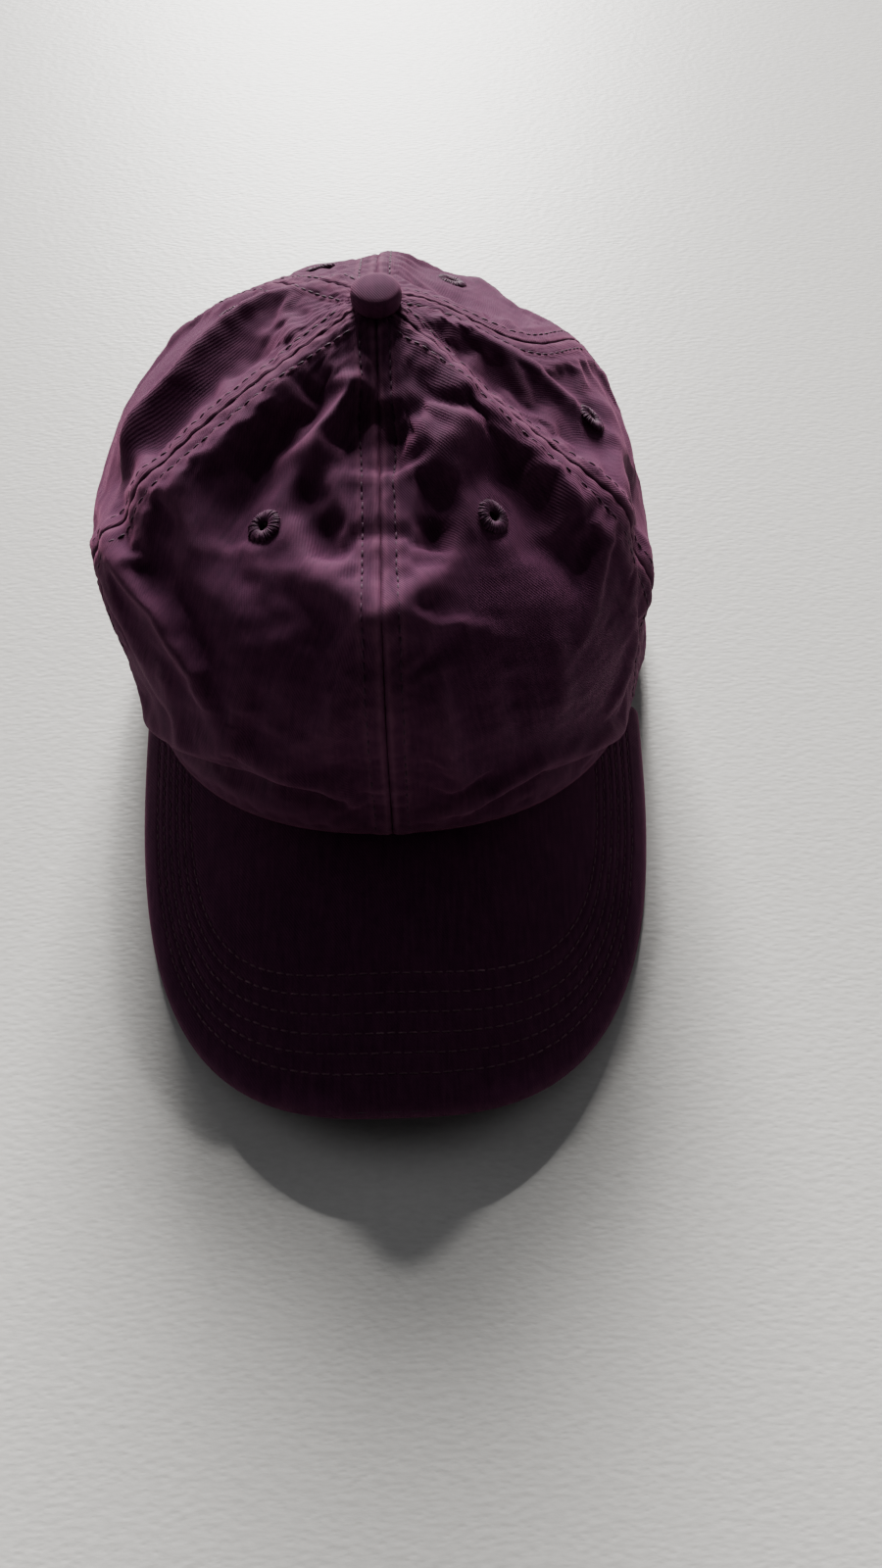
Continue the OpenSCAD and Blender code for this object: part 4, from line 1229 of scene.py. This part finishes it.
def tab():
    """The cloth loop: one thickness followed along its path round the bar and back into the hem."""
    near, far = FRAME_END - BAR_SPAN - 0.75, FRAME_END + 2.4
    inner, outer = TAB_R - TAB_T / 2, BAR_R + BAR_T + 0.2 + TAB_T / 2
    path = [(38, inner)]
    path += [(a, inner) for a in np.linspace(36, near + 0.9, 26)]
    mid, half = (inner + outer) / 2, (outer - inner) / 2
    for q in np.radians(np.linspace(-90, -270, 13)[1:-1]):
        path.append((near + 0.9 + 0.85 * math.cos(q), mid + half * math.sin(q)))
    path += [(a, outer) for a in np.linspace(near + 0.9, far - 1.2, 12)]
    path += [(far - 0.6, outer - 0.35), (far, outer - 1.1)]
    path = np.array(path)
    pts = arc_point(path[:, 0], path[:, 1], 0.0)
    tangent = unit(np.gradient(pts, axis=0))
    nrm = np.cross(tangent, [0, 0, 1.0])
    w = 9.1
    z = np.concatenate([np.linspace(-w, w, 24), np.linspace(w, -w, 24)])
    side = np.concatenate([np.full(24, 1.0), np.full(24, -1.0)])
    edge = 1 - 0.75 * np.exp(-(w - np.abs(z)) / 0.35)
    verts = pts[:, None] + nrm[:, None] * (side * edge * TAB_T / 2 * 0.94)[None, :, None]
    verts = verts + np.array([0, 0, 1.0]) * (14 + z)[None, :, None]
    n, m = verts.shape[:2]
    faces = tube_faces(n, m, flip=True)
    run = np.concatenate([[0], np.cumsum(np.linalg.norm(np.diff(pts, axis=0), axis=1))])
    uv = np.stack([np.broadcast_to(run[:, None] / 10, (n, m)), np.broadcast_to(z[None, :] / 10, (n, m))], -1)
    wear = np.broadcast_to(0.35 * np.exp(-((w - np.abs(z)) / 0.5) ** 2)[None, :], (n, m))
    obj = make("buckle_tab_cloth", verts.reshape(-1, 3), faces, cloth_mat, uv, {"wear": wear})
    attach(obj, "cap"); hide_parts("buckle_tab")
    rows = []
    zz = np.linspace(14 - 8, 14 + 8, 60)
    for ang, sunk in ((FRAME_END + 1.0, 0), (FRAME_END + 1.9, 0.25)):
        ang = np.full(len(zz), ang)
        p = arc_point(ang, outer + TAB_T / 2 - 0.12 - sunk, zz)
        rows.append((p, arc_point(ang, 1.0, 0) - arc_point(ang, 0.0, 0)))
    sew("buckle_tab_stitches", rows, thread_mat, pitch=2.6, length=2.1, radius=0.2, lift=0.04, seed=31)


tab()
for name in ("buckle_frame", "buckle_lever", "buckle_pin"):
    node = nodes[name]
    node.data.materials.clear(); node.data.materials.append(brass_mat)
    bevel = node.modifiers.new("soft_edges", "BEVEL")
    bevel.width, bevel.segments, bevel.limit_method, bevel.angle_limit = 0.00022, 2, "ANGLE", math.radians(40)

# ---------------------------------------------------------------- table, light and camera
def table_top():
    m = Nodes("pale_table")
    obj = m.add("ShaderNodeTexCoord").outputs["Object"]
    stretch = m.add("ShaderNodeMapping")
    stretch.inputs["Scale"].default_value = (1.0, 2.3, 1.0)
    m.wire(obj, stretch.inputs[0])
    grain = m.add("ShaderNodeTexVoronoi", Scale=360.0, feature="SMOOTH_F1")
    m.wire(stretch.outputs[0], grain.inputs["Vector"])
    cloud = m.noise(stretch.outputs[0], 300, 3)
    height = m.math("ADD", m.math("MULTIPLY", grain.outputs["Distance"], 0.7), m.math("MULTIPLY", cloud, 0.5))
    m.set(Specular_IOR_Level=0.3)
    mat = m.done(m.ramp(cloud, [(0.3, (0.63, 0.62, 0.60)), (0.7, (0.69, 0.68, 0.66))]),
                 m.math("MULTIPLY_ADD", cloud, 0.10, 0.36), m.bump(height, 0.4, 0.0004))
    mesh = bpy.data.meshes.new("table_top")
    mesh.from_pydata([(-6, -6, 0), (6, -6, 0), (6, 6, 0), (-6, 6, 0)], [], [(0, 1, 2, 3)])
    mesh.materials.append(mat)
    link(bpy.data.objects.new("table_top", mesh))


table_top()


def area_light(name, place, aim, size, power, colour=(1, 1, 1)):
    data = bpy.data.lights.new(name, "AREA")
    data.shape, data.size, data.size_y, data.energy, data.color = "RECTANGLE", size[0], size[1], power, colour
    obj = link(bpy.data.objects.new(name, data))
    d = np.array(aim, float) - np.array(place, float)
    z = -d / np.linalg.norm(d)
    x = np.cross([0, 0, 1.0], z)
    x /= np.linalg.norm(x)
    y = np.cross(z, x)
    obj.matrix_world = Matrix([(x[k], y[k], z[k], place[k]) for k in range(3)] + [(0, 0, 0, 1)])


area_light("window", (-0.2, 5.5, 2.55), (0, 0.0, 0.03), (1.9, 2.2), 1230, (1.0, 0.98, 0.95))
area_light("window_top", (-0.05, 4.85, 3.8), (0, 0.0, 0.03), (0.30, 0.14), 120, (1.0, 0.98, 0.95))
area_light("room_left", (-2.6, 0.9, 1.5), (0, 0, 0.02), (1.6, 1.6), 8.5, (0.95, 0.96, 1.0))
area_light("room_right", (2.6, 0.9, 1.5), (0, 0, 0.02), (1.6, 1.6), 6, (0.95, 0.96, 1.0))
area_light("ceiling", (0, 0.35, 3.0), (0, 0.02, 0), (2.2, 2.2), 3.4, (0.95, 0.96, 1.0))
world = bpy.data.worlds.new("room_air")
world.use_nodes = True
world.node_tree.nodes["Background"].inputs[0].default_value = (0.96, 0.97, 1.0, 1)
world.node_tree.nodes["Background"].inputs[1].default_value = 0.03
bpy.context.scene.world = world

CAMERA_AT = (9.7, -271.2 + CENTRE_Y, 330.6)
PITCH, YAW, ROLL = math.radians(57.9), math.radians(1.3), math.radians(-0.6)
ahead = np.array([math.sin(YAW) * math.cos(PITCH), math.cos(YAW) * math.cos(PITCH), -math.sin(PITCH)])
level = np.array([math.cos(YAW), -math.sin(YAW), 0])
above = np.cross(level, ahead)
right = math.cos(ROLL) * level + math.sin(ROLL) * above
up = -math.sin(ROLL) * level + math.cos(ROLL) * above
camera_data = bpy.data.cameras.new("camera")
camera_data.sensor_width, camera_data.lens = 36.0, 28.125
camera_data.clip_start, camera_data.clip_end = 0.01, 50
camera = link(bpy.data.objects.new("camera", camera_data))
rows = [(right[k], up[k], -ahead[k], CAMERA_AT[k] * MM) for k in range(3)]
camera.matrix_world = Matrix([*rows, (0, 0, 0, 1)])
bpy.context.scene.camera = camera
